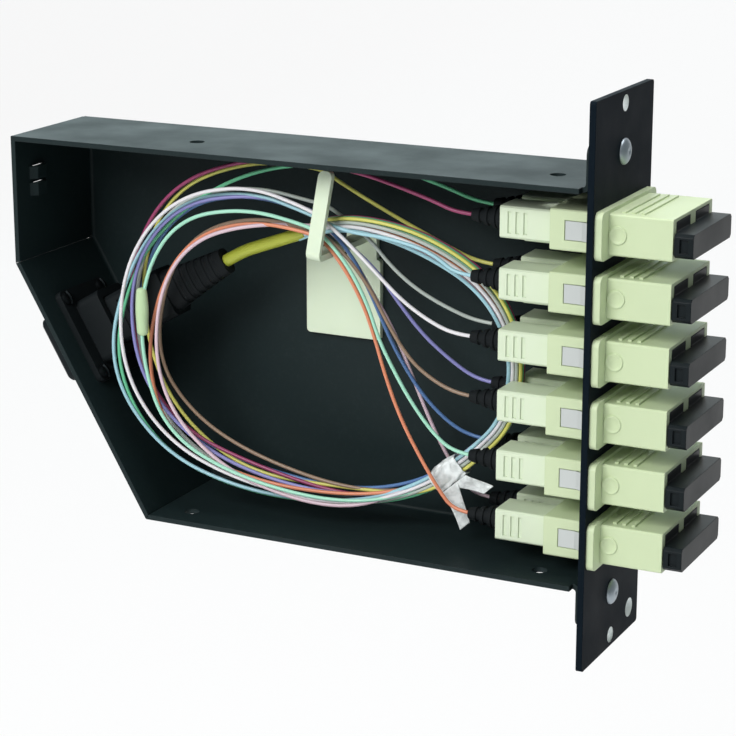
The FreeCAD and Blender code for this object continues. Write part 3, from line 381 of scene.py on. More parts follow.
def quads_of(rows: int, columns: int, wrap_rows: bool, wrap_columns: bool) -> NDArray[np.int64]:
    """Faces over a grid: corners (r, c), (r, c+1), (r+1, c+1), (r+1, c), all at once.

    Args:
        rows: Number of rows of points.
        columns: Number of points in a row.
        wrap_rows: Whether the last row joins the first.
        wrap_columns: Whether each row's end joins its start.

    Returns:
        Four point numbers for each face.
    """
    r = np.arange(rows if wrap_rows else rows - 1)[:, None]
    c = np.arange(columns if wrap_columns else columns - 1)[None, :]
    r2, c2 = (r + 1) % rows, (c + 1) % columns
    corners = (r * columns + c, r * columns + c2, r2 * columns + c2, r2 * columns + c)
    return np.stack(np.broadcast_arrays(*corners), -1).reshape(-1, 4)


def make_piece(name: str, grids: Array, finish: Finish, body: str = ROOT,
               wrap: tuple[bool, bool] = (False, True), wall: float = 0.0,
               sharp: float = 35.0) -> bpy.types.Object:
    """Make one mesh object from a stack of point grids, and dress it.

    Args:
        name: The piece's name.
        grids: Points of shape (copies, rows, columns, 3), in metres.
        finish: What it is made of.
        body: The CAD body it rides on.
        wrap: Whether rows and columns close on themselves.
        wall: Thickness given to an open sheet, or 0 for a closed form.
        sharp: Angle in degrees above which an edge stays sharp.

    Returns:
        The object, at the origin.
    """
    copies, rows, columns, _ = grids.shape
    quads = quads_of(rows, columns, *wrap)
    faces = (quads[None] + (np.arange(copies) * rows * columns)[:, None, None]).reshape(-1, 4)
    mesh = bpy.data.meshes.new(name)
    mesh.from_pydata(grids.reshape(-1, 3).tolist(), [], faces.tolist())
    shape = bmesh.new()
    shape.from_mesh(mesh)
    bmesh.ops.remove_doubles(shape, verts=shape.verts, dist=WELD_DISTANCE)
    bmesh.ops.recalc_face_normals(shape, faces=shape.faces)
    shape.to_mesh(mesh)
    shape.free()
    mesh.polygons.foreach_set("use_smooth", np.ones(len(mesh.polygons), dtype=bool))
    mesh.set_sharp_from_angle(angle=math.radians(sharp))
    mesh.materials.append(finish.material())
    piece = bpy.data.objects.new(name, mesh)
    bpy.context.scene.collection.objects.link(piece)
    if wall:
        solid = piece.modifiers.new("wall", "SOLIDIFY")
        solid.thickness = wall
        solid.offset = 0.0
    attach(piece, body)
    log.info("piece %s: %d copies, %d faces", name, copies, len(mesh.polygons))
    return piece


def lathe(profile: Array, places: Array, axis: Array, turns: int = 40) -> Array:
    """Surfaces of revolution: place + a * axis + r * (cos t * u + sin t * v).

    Args:
        profile: Points (a, r) along and away from the axis, from end to end.
        places: Where each copy's a = 0 lies, of shape (copies, 3).
        axis: Unit vector of the axis.
        turns: Points round the circle.

    Returns:
        Grids of shape (copies, len(profile), turns, 3).
    """
    u, v = across(axis)
    t = np.linspace(0, 2 * np.pi, turns, endpoint=False)
    ring = np.cos(t)[:, None] * u + np.sin(t)[:, None] * v
    one = profile[:, 0, None, None] * axis + profile[:, 1, None, None] * ring[None]
    return places[:, None, None, :] + one[None]


def across(axis: Array) -> tuple[Array, Array]:
    """Two unit vectors square to an axis and to each other."""
    up = np.array([0.0, 0.0, 1.0]) if abs(axis[2]) < 0.9 else np.array([1.0, 0.0, 0.0])
    u = np.cross(up, axis)
    u /= np.linalg.norm(u)
    return u, np.cross(axis, u)


def squared(wave: Array) -> Array:
    """Turn a cosine or sine to a superellipse's of power 3: sign(w) * |w|^(2/3)."""
    return np.sign(wave) * np.abs(wave) ** (2 / 3)


def soft_square(wave: Array, steepness: float) -> Array:
    """Turn a sine to a square wave with soft flanks: 1 / (1 + exp(-steepness * wave))."""
    return 1 / (1 + np.exp(-steepness * wave))


def dress(node: str, finish: Finish) -> None:
    """Give a CAD node's own mesh a finish."""
    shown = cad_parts[node]
    shown.data.materials.clear()
    shown.data.materials.append(finish.material())


@dataclass
class Tray:
    """The folded tray and its face plate, with the rivets that join them."""

    rivet_z: float = 51.5 * MM
    head_r: float = 3.0 * MM
    head_h: float = 1.3 * MM
    shank_r: float = 1.5 * MM
    grip: float = 2.7 * MM
    tail_r: float = 2.2 * MM
    tail_h: float = 0.9 * MM
    dimple: float = 0.35 * MM
    dimple_r: float = 0.6 * MM

    def build(self) -> None:
        """Dress tray and plate, and make the two domed rivets."""
        dress("housing", TRAY_COAT)
        dress("face_plate", PLATE_COAT)
        places = np.array([[0, 0, self.rivet_z], [0, 0, -self.rivet_z]])
        rivets = make_piece("rivets", lathe(self.rivet_profile(), places, X_AXIS), RIVET_ALU)
        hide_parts("plate_rivets")

    def rivet_profile(self) -> Array:
        """Half section: tail, shank, then a dome r = R cos t, a = H sin t with a small dimple."""
        t = np.linspace(0, np.pi / 2, 14)
        dome = np.stack([self.head_h * np.sin(t), self.head_r * np.cos(t)], 1)
        dome[:, 0] -= self.dimple * np.exp(-(dome[:, 1] / self.dimple_r) ** 2)
        stem = np.array([
            [-self.grip - self.tail_h, 0.0],
            [-self.grip - self.tail_h, self.tail_r * 0.9],
            [-self.grip - self.tail_h * 0.8, self.tail_r],
            [-self.grip, self.tail_r],
            [-self.grip, self.shank_r],
            [0.0, self.shank_r],
        ])
        return np.vstack([stem, dome])


@dataclass
class AdapterColumn:
    """Six duplex adapters with their springs, ferrules, plugs, boots and dust caps."""

    rows: int = 6
    pitch: float = 14.2 * MM
    body_half: float = 13.0 * MM
    pip_x: float = 3.8 * MM
    middle: float = 2.15 * MM
    holder_half: float = 6.2 * MM
    rim_r: float = 1.55 * MM
    plug_rear: float = 24.8 * MM
    boot_length: float = 8.4 * MM
    boot_r: float = 2.9 * MM
    boot_end_r: float = 1.35 * MM
    boot_rings: int = 4
    ring_depth: float = 0.42 * MM

    def heights(self) -> Array:
        """Height of each row's centre, from the top: ((n - 1) / 2 - row) * pitch."""
        return ((self.rows - 1) / 2 - np.arange(self.rows)) * self.pitch

    def build(self) -> None:
        """Dress the moulded parts and make the pips, sleeves and boots."""
        for number in range(1, self.rows + 1):
            dress(f"adapter_{number}", ADAPTER_PBT)
            dress(f"plug_near_{number}", PLUG_PBT)
            dress(f"plug_far_{number}", PLUG_PBT)
            dress(f"dust_cap_{number}", CAP_PP)
        dress("retention_springs", SPRING_STEEL)
        dress("ferrules", ZIRCONIA)
        self.make_pips()
        self.make_sleeves()
        self.make_boots()

    def make_pips(self) -> None:
        """A round moulded pip on each side of each adapter: a disc with a raised rim."""
        r = np.array([0, 1.3, 1.42, 1.62, 1.8, 2.0, 2.08, 2.1]) * MM
        a = np.array([0.12, 0.12, 0.16, 0.3, 0.32, 0.3, 0.16, -0.2]) * MM
        for side, sign in (("near", -1.0), ("far", 1.0)):
            places = np.stack([np.full(self.rows, self.pip_x),
                               np.full(self.rows, sign * self.body_half), self.heights()], 1)
            grids = lathe(np.stack([a, r], 1), places, sign * Y_AXIS, 36)
            pips = make_piece(f"adapter_pips_{side}", grids, ADAPTER_PBT)

    def make_sleeves(self) -> None:
        """The ceramic sleeve's rim at each holder's front mouth: a ring of oval section."""
        t = np.linspace(0, 2 * np.pi, 13)
        profile = np.stack([0.12 * MM * np.sin(t), self.rim_r + 0.22 * MM * np.cos(t)], 1)
        z = np.repeat(self.heights(), 2)
        y = np.tile([Side.NEAR.value, Side.FAR.value], self.rows)
        places = np.stack([np.full(z.size, self.middle + self.holder_half), y, z], 1)
        rims = make_piece("sleeve_rims", lathe(profile, places, X_AXIS, 28), ZIRCONIA)

    def make_boots(self) -> None:
        """Twelve ribbed boots: r = taper - ring depth * (1 - soft square wave) along them."""
        s = np.linspace(0, 1, 97)
        wave = soft_square(np.sin(2 * np.pi * self.boot_rings * s), 14)
        ribbed = np.where((s > 0.2) & (s < 0.86), wave, 1.0)
        radius = self.boot_r + (self.boot_end_r - self.boot_r) * np.clip((s - 0.15) / 0.85, 0, 1)
        radius = radius - self.ring_depth * (1 - ribbed)
        closed = np.concatenate([[[0.0, 0.0]], np.stack([-self.boot_length * s, radius], 1),
                                 [[-self.boot_length, 0.0]]])
        for side in Side:
            places = np.stack([np.full(self.rows, -self.plug_rear), np.full(self.rows, side.value),
                               self.heights()], 1)
            word = side.name.lower()
            boots = make_piece(f"plug_boots_{word}", lathe(closed, places, X_AXIS, 32), BOOT_TPE)
            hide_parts(*[f"boot_{word}_{n}" for n in range(1, self.rows + 1)])


@dataclass
class MultiFibrePort:
    """The port in the slanted wall: adapter, plug, ribbed boot, screws and outer cap."""

    centre: tuple[float, float, float] = (-138.186 * MM, -2.0 * MM, -5.304 * MM)
    inward: tuple[float, float, float] = (0.86427, 0.0, 0.50303)
    seat: float = 2.8 * MM
    screw_y: float = 7.65 * MM
    screw_up: float = 10.15 * MM
    head_r: float = 1.8 * MM
    head_h: float = 1.2 * MM
    boot_start: float = 27.0 * MM
    boot_length: float = 17.5 * MM
    ribs: int = 8
    rib_share: float = 0.1
    slot_depth: float = 0.5 * MM
    slot_half: float = 0.3 * MM

    def axes(self) -> tuple[Array, Array, Array]:
        """The port's own axes: inward, along Y, and up along the wall."""
        inward = np.array(self.inward)
        return inward, Y_AXIS, np.array([-inward[2], 0.0, inward[0]])

    def build(self) -> None:
        """Dress the port's CAD parts and make its screws and boot."""
        dress("multi_fibre_adapter", PORT_NYLON)
        dress("multi_fibre_plug", PORT_NYLON)
        dress("multi_fibre_cap", CAP_PP)
        self.make_screws()
        self.make_boot()

    def make_screws(self) -> None:
        """Four pan heads: height = H sqrt(1 - 0.7 (r/R)^2), less a slot where |x| is small."""
        inward, y_axis, up = self.axes()
        r = np.concatenate([[0.0], np.linspace(0.08, 1.0, 12)])[:, None] * self.head_r
        t = np.linspace(0, 2 * np.pi, 48, endpoint=False)[None, :]
        x = r * np.cos(t)
        height = self.head_h * np.sqrt(1 - 0.7 * (r / self.head_r) ** 2) * np.ones_like(t)
        height = height - self.slot_depth * soft_square(self.slot_half - np.abs(x),
                                                        1 / (0.05 * MM))
        top = (height[..., None] * inward + x[..., None] * y_axis
               + (r * np.sin(t))[..., None] * up)
        skirt = top[-1:] - height[-1:, :, None] * inward
        one = np.concatenate([top, skirt])
        signs = np.array([[-1, -1], [-1, 1], [1, -1], [1, 1]])
        places = (np.array(self.centre) + self.seat * inward
                  + signs[:, :1] * self.screw_y * y_axis + signs[:, 1:] * self.screw_up * up)
        screws = make_piece("port_screws", places[:, None, None, :] + one[None], SCREW_STEEL)

    def make_boot(self) -> None:
        """Ribbed flat boot: superellipse |y/a|^3 + |z/b|^3 = 1, a and b falling along it."""
        inward, y_axis, up = self.axes()
        s = np.linspace(0, 1, 121)
        rib = soft_square(np.sin(2 * np.pi * self.ribs * s), 12)
        rib = np.where((s > 0.16) & (s < 0.9), rib, 1.0)
        scale = 1 - self.rib_share * (1 - rib)
        half_y = np.interp(s, [0, 0.3, 1], [3.4, 2.9, 2.2]) * MM * scale
        half_z = np.interp(s, [0, 0.3, 1], [5.4, 4.6, 3.2]) * MM * scale
        t = np.linspace(0, 2 * np.pi, 48, endpoint=False)
        cy, cz = squared(np.cos(t)), squared(np.sin(t))
        along = (self.boot_start + self.boot_length * s)[:, None, None] * inward
        skin = (along + (half_y[:, None] * cy)[..., None] * y_axis
                + (half_z[:, None] * cz)[..., None] * up)
        ends = np.repeat(along[[0, -1]], t.size, 1)
        points = np.array(self.centre) + np.concatenate([ends[:1], skin, ends[1:]])
        boot = make_piece("multi_boot", points[None], BOOT_TPE)
        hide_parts("multi_fibre_boot")


@dataclass
class FibreHarness:
    """Twelve fibres: yellow sleeve, one loose turn round the tray, hook, and out to the boots.

    Each fibre is one NURBS spline. Its control points are the turn's, moved outwards and
    sideways by the fibre's lane, and then its own row's points.
    """

    diameter: float = 0.9 * MM
    turn: float = math.radians(6.7)
    pivot: tuple[float, float, float] = (-30.0 * MM, -0.6 * MM, 0.0)
    sleeve_end: tuple[float, float, float] = (-78.3 * MM, -2.0 * MM, 26.1 * MM)
    boot_end: float = -33.2 * MM
    straight: float = 4.0 * MM
    tight_stations: int = 7
    tape_half: float = 4.2 * MM
    tape_width: float = 3.1 * MM
    tape_depth: float = 2.3 * MM
    crease: float = 0.22 * MM
    film: float = 0.12 * MM

    def fibres(self) -> list[Fibre]:
        """The twelve fibres, row by row, near port first."""
        near, far = Side.NEAR, Side.FAR
        return [
            Fibre(0, near, "rose", "#9A3F68"), Fibre(0, far, "green", "#6CC596"),
            Fibre(1, near, "light_blue", "#A3CFDA"), Fibre(1, far, "yellow", "#D8D56E"),
            Fibre(2, near, "white", "#E4E1E4"), Fibre(2, far, "slate", "#B4BDB6"),
            Fibre(3, near, "brown", "#927A66"), Fibre(3, far, "violet", "#8B8AC4"),
            Fibre(4, near, "mint", "#A6E0C6"), Fibre(4, far, "blue", "#5C80B4"),
            Fibre(5, near, "orange", "#DC8A68"), Fibre(5, far, "pink", "#D9BFC9"),
        ]

    def loop_stations(self) -> Array:
        """X and Z of the turn's control points, in the loop's own plane, in metres."""
        return MM * np.array([
            (-62.0, 30.5), (-46.0, 26.5), (-31.0, 17.5), (-24.0, 3.0), (-26.0, -13.5),
            (-34.5, -23.0), (-46.5, -33.5), (-66.0, -39.5), (-93.0, -38.0), (-114.5, -28.8),
            (-124.2, -9.0), (-123.2, 15.5), (-110.2, 32.5), (-91.0, 38.5), (-74.0, 36.0)])

    def cells(self) -> tuple[Array, Array]:
        """Where the fibres are tight: four columns of three, a fibre's width apart, in mm.

        Returns:
            Each fibre's place outwards and in depth.
        """
        # rose green lblue yellow white slate brown violet mint blue orange pink
        column = np.array([3, 3, 0, 3, 1, 2, 2, 1, 2, 0, 1, 0]) - 1.5
        row = np.array([1.0, 0, -1, -1, -1, -1, 1, 1, 0, 1, 0, 0])
        return column, row

    def lanes(self) -> tuple[Array, Array]:
        """Each fibre's lane at each station: outwards and in depth, in metres.

        The first seven stations hold the tight bundle, spread by a factor. Then the table
        gives, station by station, how far outwards each fibre lies, in mm. Its depth is its
        own share of the bundle's depth there, and at the hook the near ports' fibres come
        forward and the far ports' go back.
        """
        column, row = self.cells()
        spread = np.array([1.05, 1.45, 1.3, 1.0, 1.0, 1.0, 1.05])
        shift = np.array([-0.1, 0.0, 0.0, 0.0, 0.0, 0.0, -0.7])
        tight = spread[:, None] * column + shift[:, None]
        # rose green lblue yellow white slate brown violet mint  blue  orange pink
        loose = np.array([
            [-1.9, -0.1, -0.6, -4.1, -0.5, 0.4, -3.6, -2.3, -1.3, -3.2, -2.8, 0.9],
            [-6.2, 1.1, 0.7, -3.3, -2.2, -1.4, -8.4, -4.4, -3.6, -5.2, -3.0, -2.7],
            [-5.6, 2.5, 2.1, -7.2, -2.5, -3.6, -10.6, -6.3, -5.0, -4.4, -3.3, -8.5],
            [-2.3, 3.9, 5.2, -5.6, 0.0, -3.4, -7.6, -2.9, -6.9, -1.2, -6.6, -9.8],
            [0.2, -1.5, -0.6, -2.4, -0.3, -2.0, -9.8, -1.7, -6.5, -2.8, -10.4, -11.2],
            [3.5, -2.7, -0.8, 2.5, 0.5, 0.0, -9.4, -1.4, -4.4, -2.0, -10.0, -10.7],
            [5.2, 2.0, -2.3, 4.3, -0.4, -1.3, -9.0, -3.0, -5.9, -3.7, -9.4, -10.0],
            [7.2, 7.6, -4.4, 6.2, -3.0, -2.2, -8.0, -3.9, -6.8, -5.4, -8.5, -7.6],
        ])
        share = np.array([0.55, 0.3, 0.1, 0.85, -0.6, 0.4, 0.65, -0.1, -1.0, 1.0, -0.3, -0.8])
        depth = np.array([2.6, 3.0, 3.6, 4.1, 4.0, 3.6, 3.2])
        back = np.array([-1.4, 2.7, -0.8, 2.6, -1.9, 2.4, -0.6, 2.2, -2.4, 2.9, -1.5, 2.4])
        deep = np.vstack([np.ones((self.tight_stations, 1)) * row, depth[:, None] * share, back])
        return np.vstack([tight, loose]).T * MM, deep.T * MM

    def turn_points(self) -> Array:
        """Control points of the turn for all fibres: P + n * outwards, then turned about Z.

        Returns:
            Points of shape (12, stations, 3).
        """
        flat = self.loop_stations()
        ahead = np.gradient(flat, axis=0)
        normal = np.stack([-ahead[:, 1], ahead[:, 0]], 1)
        normal /= np.linalg.norm(normal, axis=1)[:, None]
        outwards, deep = self.lanes()
        spots = flat[None] + outwards[..., None] * normal[None]
        x = spots[..., 0] - self.pivot[0]
        cos, sin = math.cos(self.turn), math.sin(self.turn)
        return np.stack([self.pivot[0] + cos * x - sin * deep,
                         self.pivot[1] + sin * x + cos * deep,
                         spots[..., 1]], -1)

    def tail_points(self, fibre: Fibre) -> Array:
        """A fibre's own control points from the hook to its boot, in metres.

        The last two are on the boot's axis, so that the fibre goes in straight.
        """
        routes = {
            "rose": ((-67.4, -7.1, 43.4), (-58.8, -6.9, 42.1), (-50.0, -6.8, 39.8),
                     (-43.0, -6.6, 37.7)),
            "green": ((-66.0, -2.2, 43.9), (-54.0, 1.9, 42.0), (-45.5, 4.4, 39.0)),
            "light_blue": ((-69.0, -6.4, 29.4), (-62.9, -6.8, 28.4), (-55.5, -6.9, 28.2),
                           (-46.4, -6.7, 26.6), (-41.5, -6.5, 24.4)),
            "yellow": ((-70.0, -2.1, 39.4), (-57.5, 1.1, 31.9), (-45.1, 4.2, 25.3)),
            "white": ((-69.8, -7.6, 30.4), (-62.9, -7.3, 24.8), (-56.4, -7.0, 18.8),
                      (-50.1, -6.8, 13.2), (-42.8, -6.6, 9.0)),
            "slate": ((-71.4, -2.5, 33.0), (-62.5, -0.2, 26.1), (-57.5, 1.1, 19.6),
                      (-51.7, 2.5, 14.4), (-44.5, 4.4, 10.2)),
            "brown": ((-70.3, -6.2, 26.8), (-63.9, -6.2, 21.2), (-58.6, -6.3, 14.7),
                      (-55.2, -6.4, 8.8), (-50.5, -6.5, 1.8), (-45.6, -6.5, -3.0)),
            "violet": ((-72.1, -2.7, 28.6), (-65.9, -1.1, 23.2), (-60.4, 0.3, 18.0),
                       (-56.2, 1.5, 11.6), (-50.4, 2.9, 3.9), (-44.4, 4.5, -1.8)),
            "mint": ((-70.3, -8.3, 27.4), (-63.9, -8.1, 20.9), (-58.9, -8.0, 12.2),
                     (-56.3, -7.8, 4.4), (-53.0, -7.4, -2.2), (-48.4, -7.0, -10.0),
                     (-42.6, -6.6, -17.4)),
            "blue": ((-71.0, -3.4, 27.8), (-65.3, -2.4, 21.4), (-60.6, -0.9, 11.0),
                     (-57.8, 0.2, 3.5), (-54.4, 1.4, -3.8), (-49.6, 3.0, -11.8),
                     (-43.2, 5.0, -18.6)),
            "orange": ((-70.3, -7.2, 25.6), (-64.9, -7.2, 19.4), (-60.4, -7.2, 11.8),
                       (-57.6, -7.1, 4.4), (-54.7, -7.0, -5.2), (-50.9, -6.8, -14.8),
                       (-46.0, -6.7, -23.4), (-41.0, -6.6, -31.0)),
            "pink": ((-71.4, -2.2, 27.4), (-66.0, -1.2, 21.0), (-61.5, 0.4, 12.3),
                     (-58.4, 1.2, 7.0), (-55.2, 2.0, 0.2), (-52.2, 2.8, -7.6),
                     (-49.2, 3.6, -15.4), (-45.6, 4.6, -23.6), (-41.4, 5.8, -31.2)),
        }
        height = AdapterColumn().heights()[fibre.row]
        ends = [[self.boot_end - self.straight, fibre.side.value, height],
                [self.boot_end + 1 * MM, fibre.side.value, height]]
        return np.vstack([np.array(routes[fibre.hue]) * MM, ends])

    def mouth_points(self, number: int) -> Array:
        """Two points in the yellow sleeve's mouth: end + along * onward, in the fibre's cell."""
        onward = np.array([0.846, -0.02, 0.533])
        outward = np.array([-0.533, 0.0, 0.846])
        column, row = self.cells()
        cell = MM * (column[number] * outward + row[number] * Y_AXIS)
        end = np.array(self.sleeve_end)
        return np.stack([end - 2 * MM * onward + 0.5 * cell, end + 4 * MM * onward + cell])

    def build(self) -> None:
        """Make the twelve fibres, the tape and the binder, and dress the sleeve."""
        turns = self.turn_points()
        tails = [f"fibre_tails_{n}" for n in range(1, 7)]
        for number, fibre in enumerate(self.fibres()):
            route = np.vstack([self.mouth_points(number), turns[number], self.tail_points(fibre)])
            strand = self.make_strand(f"fibre_{fibre.hue}", route, fibre.finish())
            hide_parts("fibre_loop", "fibre_lead", *tails)
        dress("fan_out_sleeve", SLEEVE_VINYL)
        self.make_tape()
        self.make_binder()

    def make_strand(self, name: str, route: Array, finish: Finish) -> bpy.types.Object:
        """One fibre as a NURBS spline of order 3 with its route as control points.

        Args:
            name: The piece's name.
            route: Control points, of shape (n, 3).
            finish: The coat.

        Returns:
            The curve object.
        """
        curve = bpy.data.curves.new(name, "CURVE")
        curve.dimensions = "3D"
        curve.bevel_depth = self.diameter / 2
        curve.bevel_resolution = 3
        curve.resolution_u = 10
        curve.use_fill_caps = True
        spline = curve.splines.new("NURBS")
        spline.points.add(len(route) - 1)
        spline.points.foreach_set("co", np.column_stack([route, np.ones(len(route))]).ravel())
        spline.order_u = 3
        spline.use_endpoint_u = True
        curve.materials.append(finish.material())
        strand = bpy.data.objects.new(name, curve)
        bpy.context.scene.collection.objects.link(strand)
        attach(strand, ROOT)
        log.info("piece %s: %d control points", name, len(route))
        return strand

    def make_tape(self) -> None:
        """Tape round the bundle: a superellipse sleeve with creases, and two loose ends.

        The sleeve is c + s * run + a cos^(2/3) t * wide + b sin^(2/3) t * deep. Sine creases
        move a and b, and a falls by 0.5 mm towards the ends.
        """
        run = np.array([-12.0, 0.0, -10.5])
        run /= np.linalg.norm(run)
        wide = np.array([-run[2], 0.0, run[0]])
        cos, sin = math.cos(self.turn), math.sin(self.turn)
        spin = np.array([[cos, -sin, 0], [sin, cos, 0], [0, 0, 1]])
        run, wide, deep = spin @ run, spin @ wide, spin @ Y_AXIS
        centre = np.array(self.pivot) + spin @ (MM * np.array([-10.6, 0.0, -28.1]))
        s = np.linspace(-self.tape_half, self.tape_half, 41)[:, None]
        t = np.linspace(0, 2 * np.pi, 72, endpoint=False)[None, :]
        crease = self.crease * np.sin(3 * t + 900 * s) * np.sin(7 * t - 1700 * s)
        a = self.tape_width + crease - 0.5 * MM * (s / self.tape_half) ** 2
        b = self.tape_depth + crease
        x = a * squared(np.cos(t))
        y = b * squared(np.sin(t))
        sleeve = centre + s[..., None] * run + x[..., None] * wide + y[..., None] * deep
        wrap = make_piece("tape_sleeve", sleeve[None], TAPE_FILM, wall=self.film)
        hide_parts("tape_wrap")
        for name, length, lean, start in (("low", 9.5, 3.4, 1.0), ("high", 6.0, -4.6, -1.6)):
            flag = centre + self.flag_points(wide, run, deep, length * MM, lean * MM, start * MM)
            loose = make_piece(f"tape_flag_{name}", flag[None], TAPE_FILM, wrap=(False, False),
                               wall=self.film)

    def flag_points(self, wide: Array, run: Array, deep: Array, length: float, lean: float,
                    start: float) -> Array:
        """A loose end of tape: out * wide + side * run + curl * deep, narrowing to its tip.

        Args:
            wide: Unit vector out of the bundle.
            run: Unit vector along the bundle.
            deep: Unit vector into the tray.
            length: How far the end stands out.
            lean: How far along the bundle its tip has slipped.
            start: Where along the bundle it starts.

        Returns:
            Points of shape (31, 15, 3), from the bundle's centre.
        """
        u = np.linspace(0, 1, 31)[:, None]
        v = np.linspace(-1, 1, 15)[None, :]
        curl = 0.9 * MM * np.sin(3.0 * u + 0.7 * v) * u
        out = (2.6 * MM + length * u) * np.ones_like(v)
        side = start + 2.4 * MM * v * (1 - 0.45 * u) + lean * u
        return (out[..., None] * wide + side[..., None] * run
                + (curl - 2.2 * MM)[..., None] * deep)

    def make_binder(self) -> None:
        """The cut silicone tube on the left strands: an oval, full in its middle."""
        low, high = (np.array(corner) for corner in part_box("fibre_binder"))
        middle, half = (low + high) / 2, (high - low) / 2
        s = np.linspace(-1, 1, 49)[:, None]
        t = np.linspace(0, 2 * np.pi, 48, endpoint=False)[None, :]
        ends = np.clip(1 - np.abs(s) ** 14, 0, 1) ** 0.5
        waist = 1 - 0.16 * s ** 2 + 0.03 * np.sin(5 * s + 2 * t)
        inset = 0.97
        x = half[0] * ends * waist * np.cos(t) * inset
        y = half[1] * ends * waist * np.sin(t) * inset
        z = half[2] * s * np.ones_like(t)
        grid = middle + np.stack([x, y, z], -1)
        binder = make_piece("strand_binder", grid[None], BINDER_SILICONE)
        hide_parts("fibre_binder")


def white_share(tree: bpy.types.NodeTree, *rays: str) -> bpy.types.NodeSocket:
    """Return 1 where the light path is any of the named rays, and 0 elsewhere.

    Args:
        tree: The material's or world's node tree.
        rays: Two or more outputs of the light path node, by name.
    """
    path = add_node(tree, "ShaderNodeLightPath").outputs
    share = path[rays[0]]
    for ray in rays[1:]:
        share = add_node(tree, "ShaderNodeMath", {"operation": "MAXIMUM"},
                         {0: share, 1: path[ray]}).outputs["Value"]
    return share


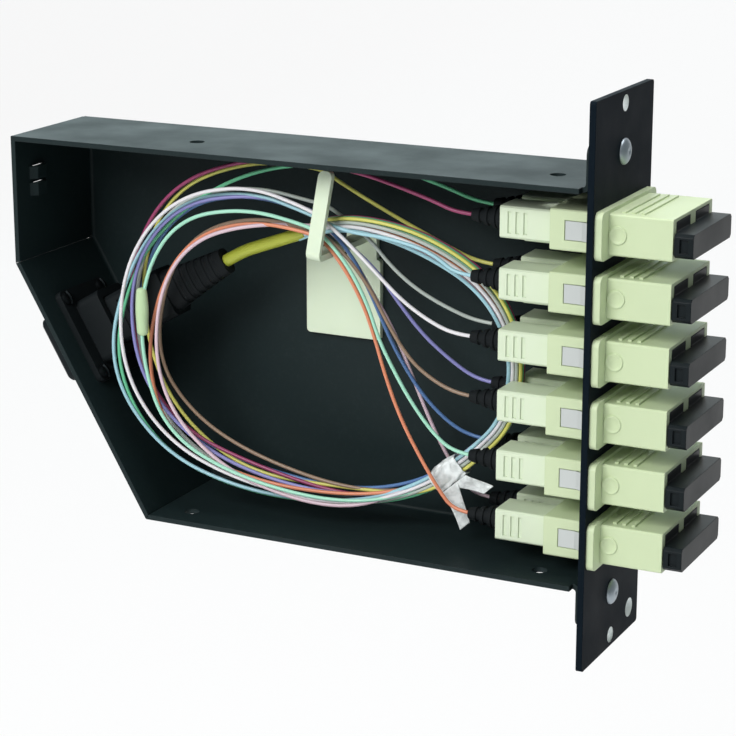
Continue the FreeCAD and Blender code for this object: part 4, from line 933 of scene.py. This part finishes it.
@dataclass
class Studio:
    """Camera, soft lamps, and a plain pale floor with a swept backdrop."""

    lens: float = 115.0
    eye: tuple[float, float, float] = (0.17530, -0.48160, 0.14505)
    look: tuple[float, float, float] = (-0.426648, 0.863128, -0.27015)
    aim: tuple[float, float, float] = (-0.06, 0.0, 0.0)
    floor_z: float = -0.30
    floor_front: float = -3.0
    sweep_start: float = 1.2
    sweep_r: float = 0.5
    sweep_top: float = 2.6
    sweep_sides: tuple[float, float] = (-4.0, 0.7)
    glow: float = 0.85

    def build(self) -> None:
        """Set up everything that isn't the object."""
        self.place_camera()
        self.light_world()
        self.place_lamps()
        self.lay_floor()
        scene = bpy.context.scene
        scene.view_settings.view_transform = "Standard"

    def place_camera(self) -> None:
        """A level camera at the eye point that looks along the look vector."""
        data = bpy.data.cameras.new("camera")
        data.lens = self.lens
        data.sensor_width = 36.0
        data.clip_start = 0.01
        camera = bpy.data.objects.new("camera", data)
        camera.location = self.eye
        camera.rotation_euler = Vector(self.look).to_track_quat("-Z", "Y").to_euler()
        bpy.context.scene.collection.objects.link(camera)
        bpy.context.scene.camera = camera

    def light_world(self) -> None:
        """A dim cool sky for light, and white where the camera looks straight at it."""
        world = bpy.data.worlds.new("studio")
        world.use_nodes = True
        tree = world.node_tree
        tree.nodes.clear()
        seen = white_share(tree, "Is Camera Ray", "Is Transmission Ray")
        sky = add_node(tree, "ShaderNodeBackground", {},
                       {"Color": (0.9, 0.97, 1.0, 1), "Strength": 0.28})
        plain = add_node(tree, "ShaderNodeBackground", {},
                         {"Color": (1, 1, 1, 1), "Strength": 1.0})
        mix = add_node(tree, "ShaderNodeMixShader", {}, {
            0: seen, 1: sky.outputs[0], 2: plain.outputs[0]})
        add_node(tree, "ShaderNodeOutputWorld", {}, {"Surface": mix.outputs[0]})
        bpy.context.scene.world = world

    def place_lamps(self) -> None:
        """Three soft boxes: above and in front, overhead, and low at the back for the roof."""
        boxes = (
            ("key", (-0.35, -1.3, 0.9), 0.8, 20.0, (1.0, 1.0, 1.0)),
            ("top", (0.1, 0.1, 1.4), 0.8, 14.0, (1.0, 1.0, 1.0)),
            ("rake", (-0.85, 1.3, 0.45), 0.8, 2.0, (0.6, 0.95, 1.0)),
        )
        for name, place, size, power, colour in boxes:
            lamp = bpy.data.lights.new(name, "AREA")
            lamp.shape = "SQUARE"
            lamp.size = size
            lamp.energy = power
            lamp.color = colour
            shown = bpy.data.objects.new(name, lamp)
            shown.location = place
            aim = Vector(self.aim) - Vector(place)
            shown.rotation_euler = aim.to_track_quat("-Z", "Y").to_euler()
            bpy.context.scene.collection.objects.link(shown)

    def lay_floor(self) -> None:
        """Floor and backdrop as one sweep: flat, then a quarter circle, then upright."""
        r = self.sweep_r
        t = np.linspace(0, np.pi / 2, 24)
        profile = np.concatenate([
            [[self.floor_front, 0.0]],
            np.stack([self.sweep_start + r * np.sin(t), r - r * np.cos(t)], 1),
            [[self.sweep_start + r, self.sweep_top]],
        ])
        x = np.array(self.sweep_sides)
        grid = np.stack(np.broadcast_arrays(
            x[None, :], profile[:, :1], self.floor_z + profile[:, 1:]), -1)
        faces = quads_of(len(profile), 2, False, False)
        mesh = bpy.data.meshes.new("sweep")
        mesh.from_pydata(grid.reshape(-1, 3).tolist(), [], faces.tolist())
        mesh.polygons.foreach_set("use_smooth", np.ones(len(mesh.polygons), dtype=bool))
        mesh.materials.append(self.paper())
        sweep = bpy.data.objects.new("sweep", mesh)
        bpy.context.scene.collection.objects.link(sweep)

    def paper(self) -> bpy.types.Material:
        """White paper roll: matt, and lifted to white where camera, gloss or glass sees it."""
        made = bpy.data.materials.new("matt_white_paper_roll")
        made.use_nodes = True
        tree = made.node_tree
        tree.nodes.clear()
        seen = white_share(tree, "Is Camera Ray", "Is Transmission Ray", "Is Glossy Ray")
        share = add_node(tree, "ShaderNodeMath", {"operation": "MULTIPLY"},
                         {0: seen, 1: self.glow})
        matt = add_node(tree, "ShaderNodeBsdfDiffuse", {}, {"Color": (0.9, 0.9, 0.9, 1)})
        glow = add_node(tree, "ShaderNodeEmission", {}, {"Color": (1, 1, 1, 1), "Strength": 1.0})
        mix = add_node(tree, "ShaderNodeMixShader", {}, {
            0: share.outputs["Value"], 1: matt.outputs[0], 2: glow.outputs[0]})
        add_node(tree, "ShaderNodeOutputMaterial", {}, {"Surface": mix.outputs[0]})
        return made


def main() -> None:
    """Build every class in order and dress the hook clip."""
    logging.basicConfig(level=logging.INFO, format="%(name)s: %(message)s")
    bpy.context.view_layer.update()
    Studio().build()
    FibreHarness().build()
    Tray().build()
    AdapterColumn().build()
    MultiFibrePort().build()
    dress("hook_clip", HOOK_NYLON)


if __name__ == "__main__":
    main()
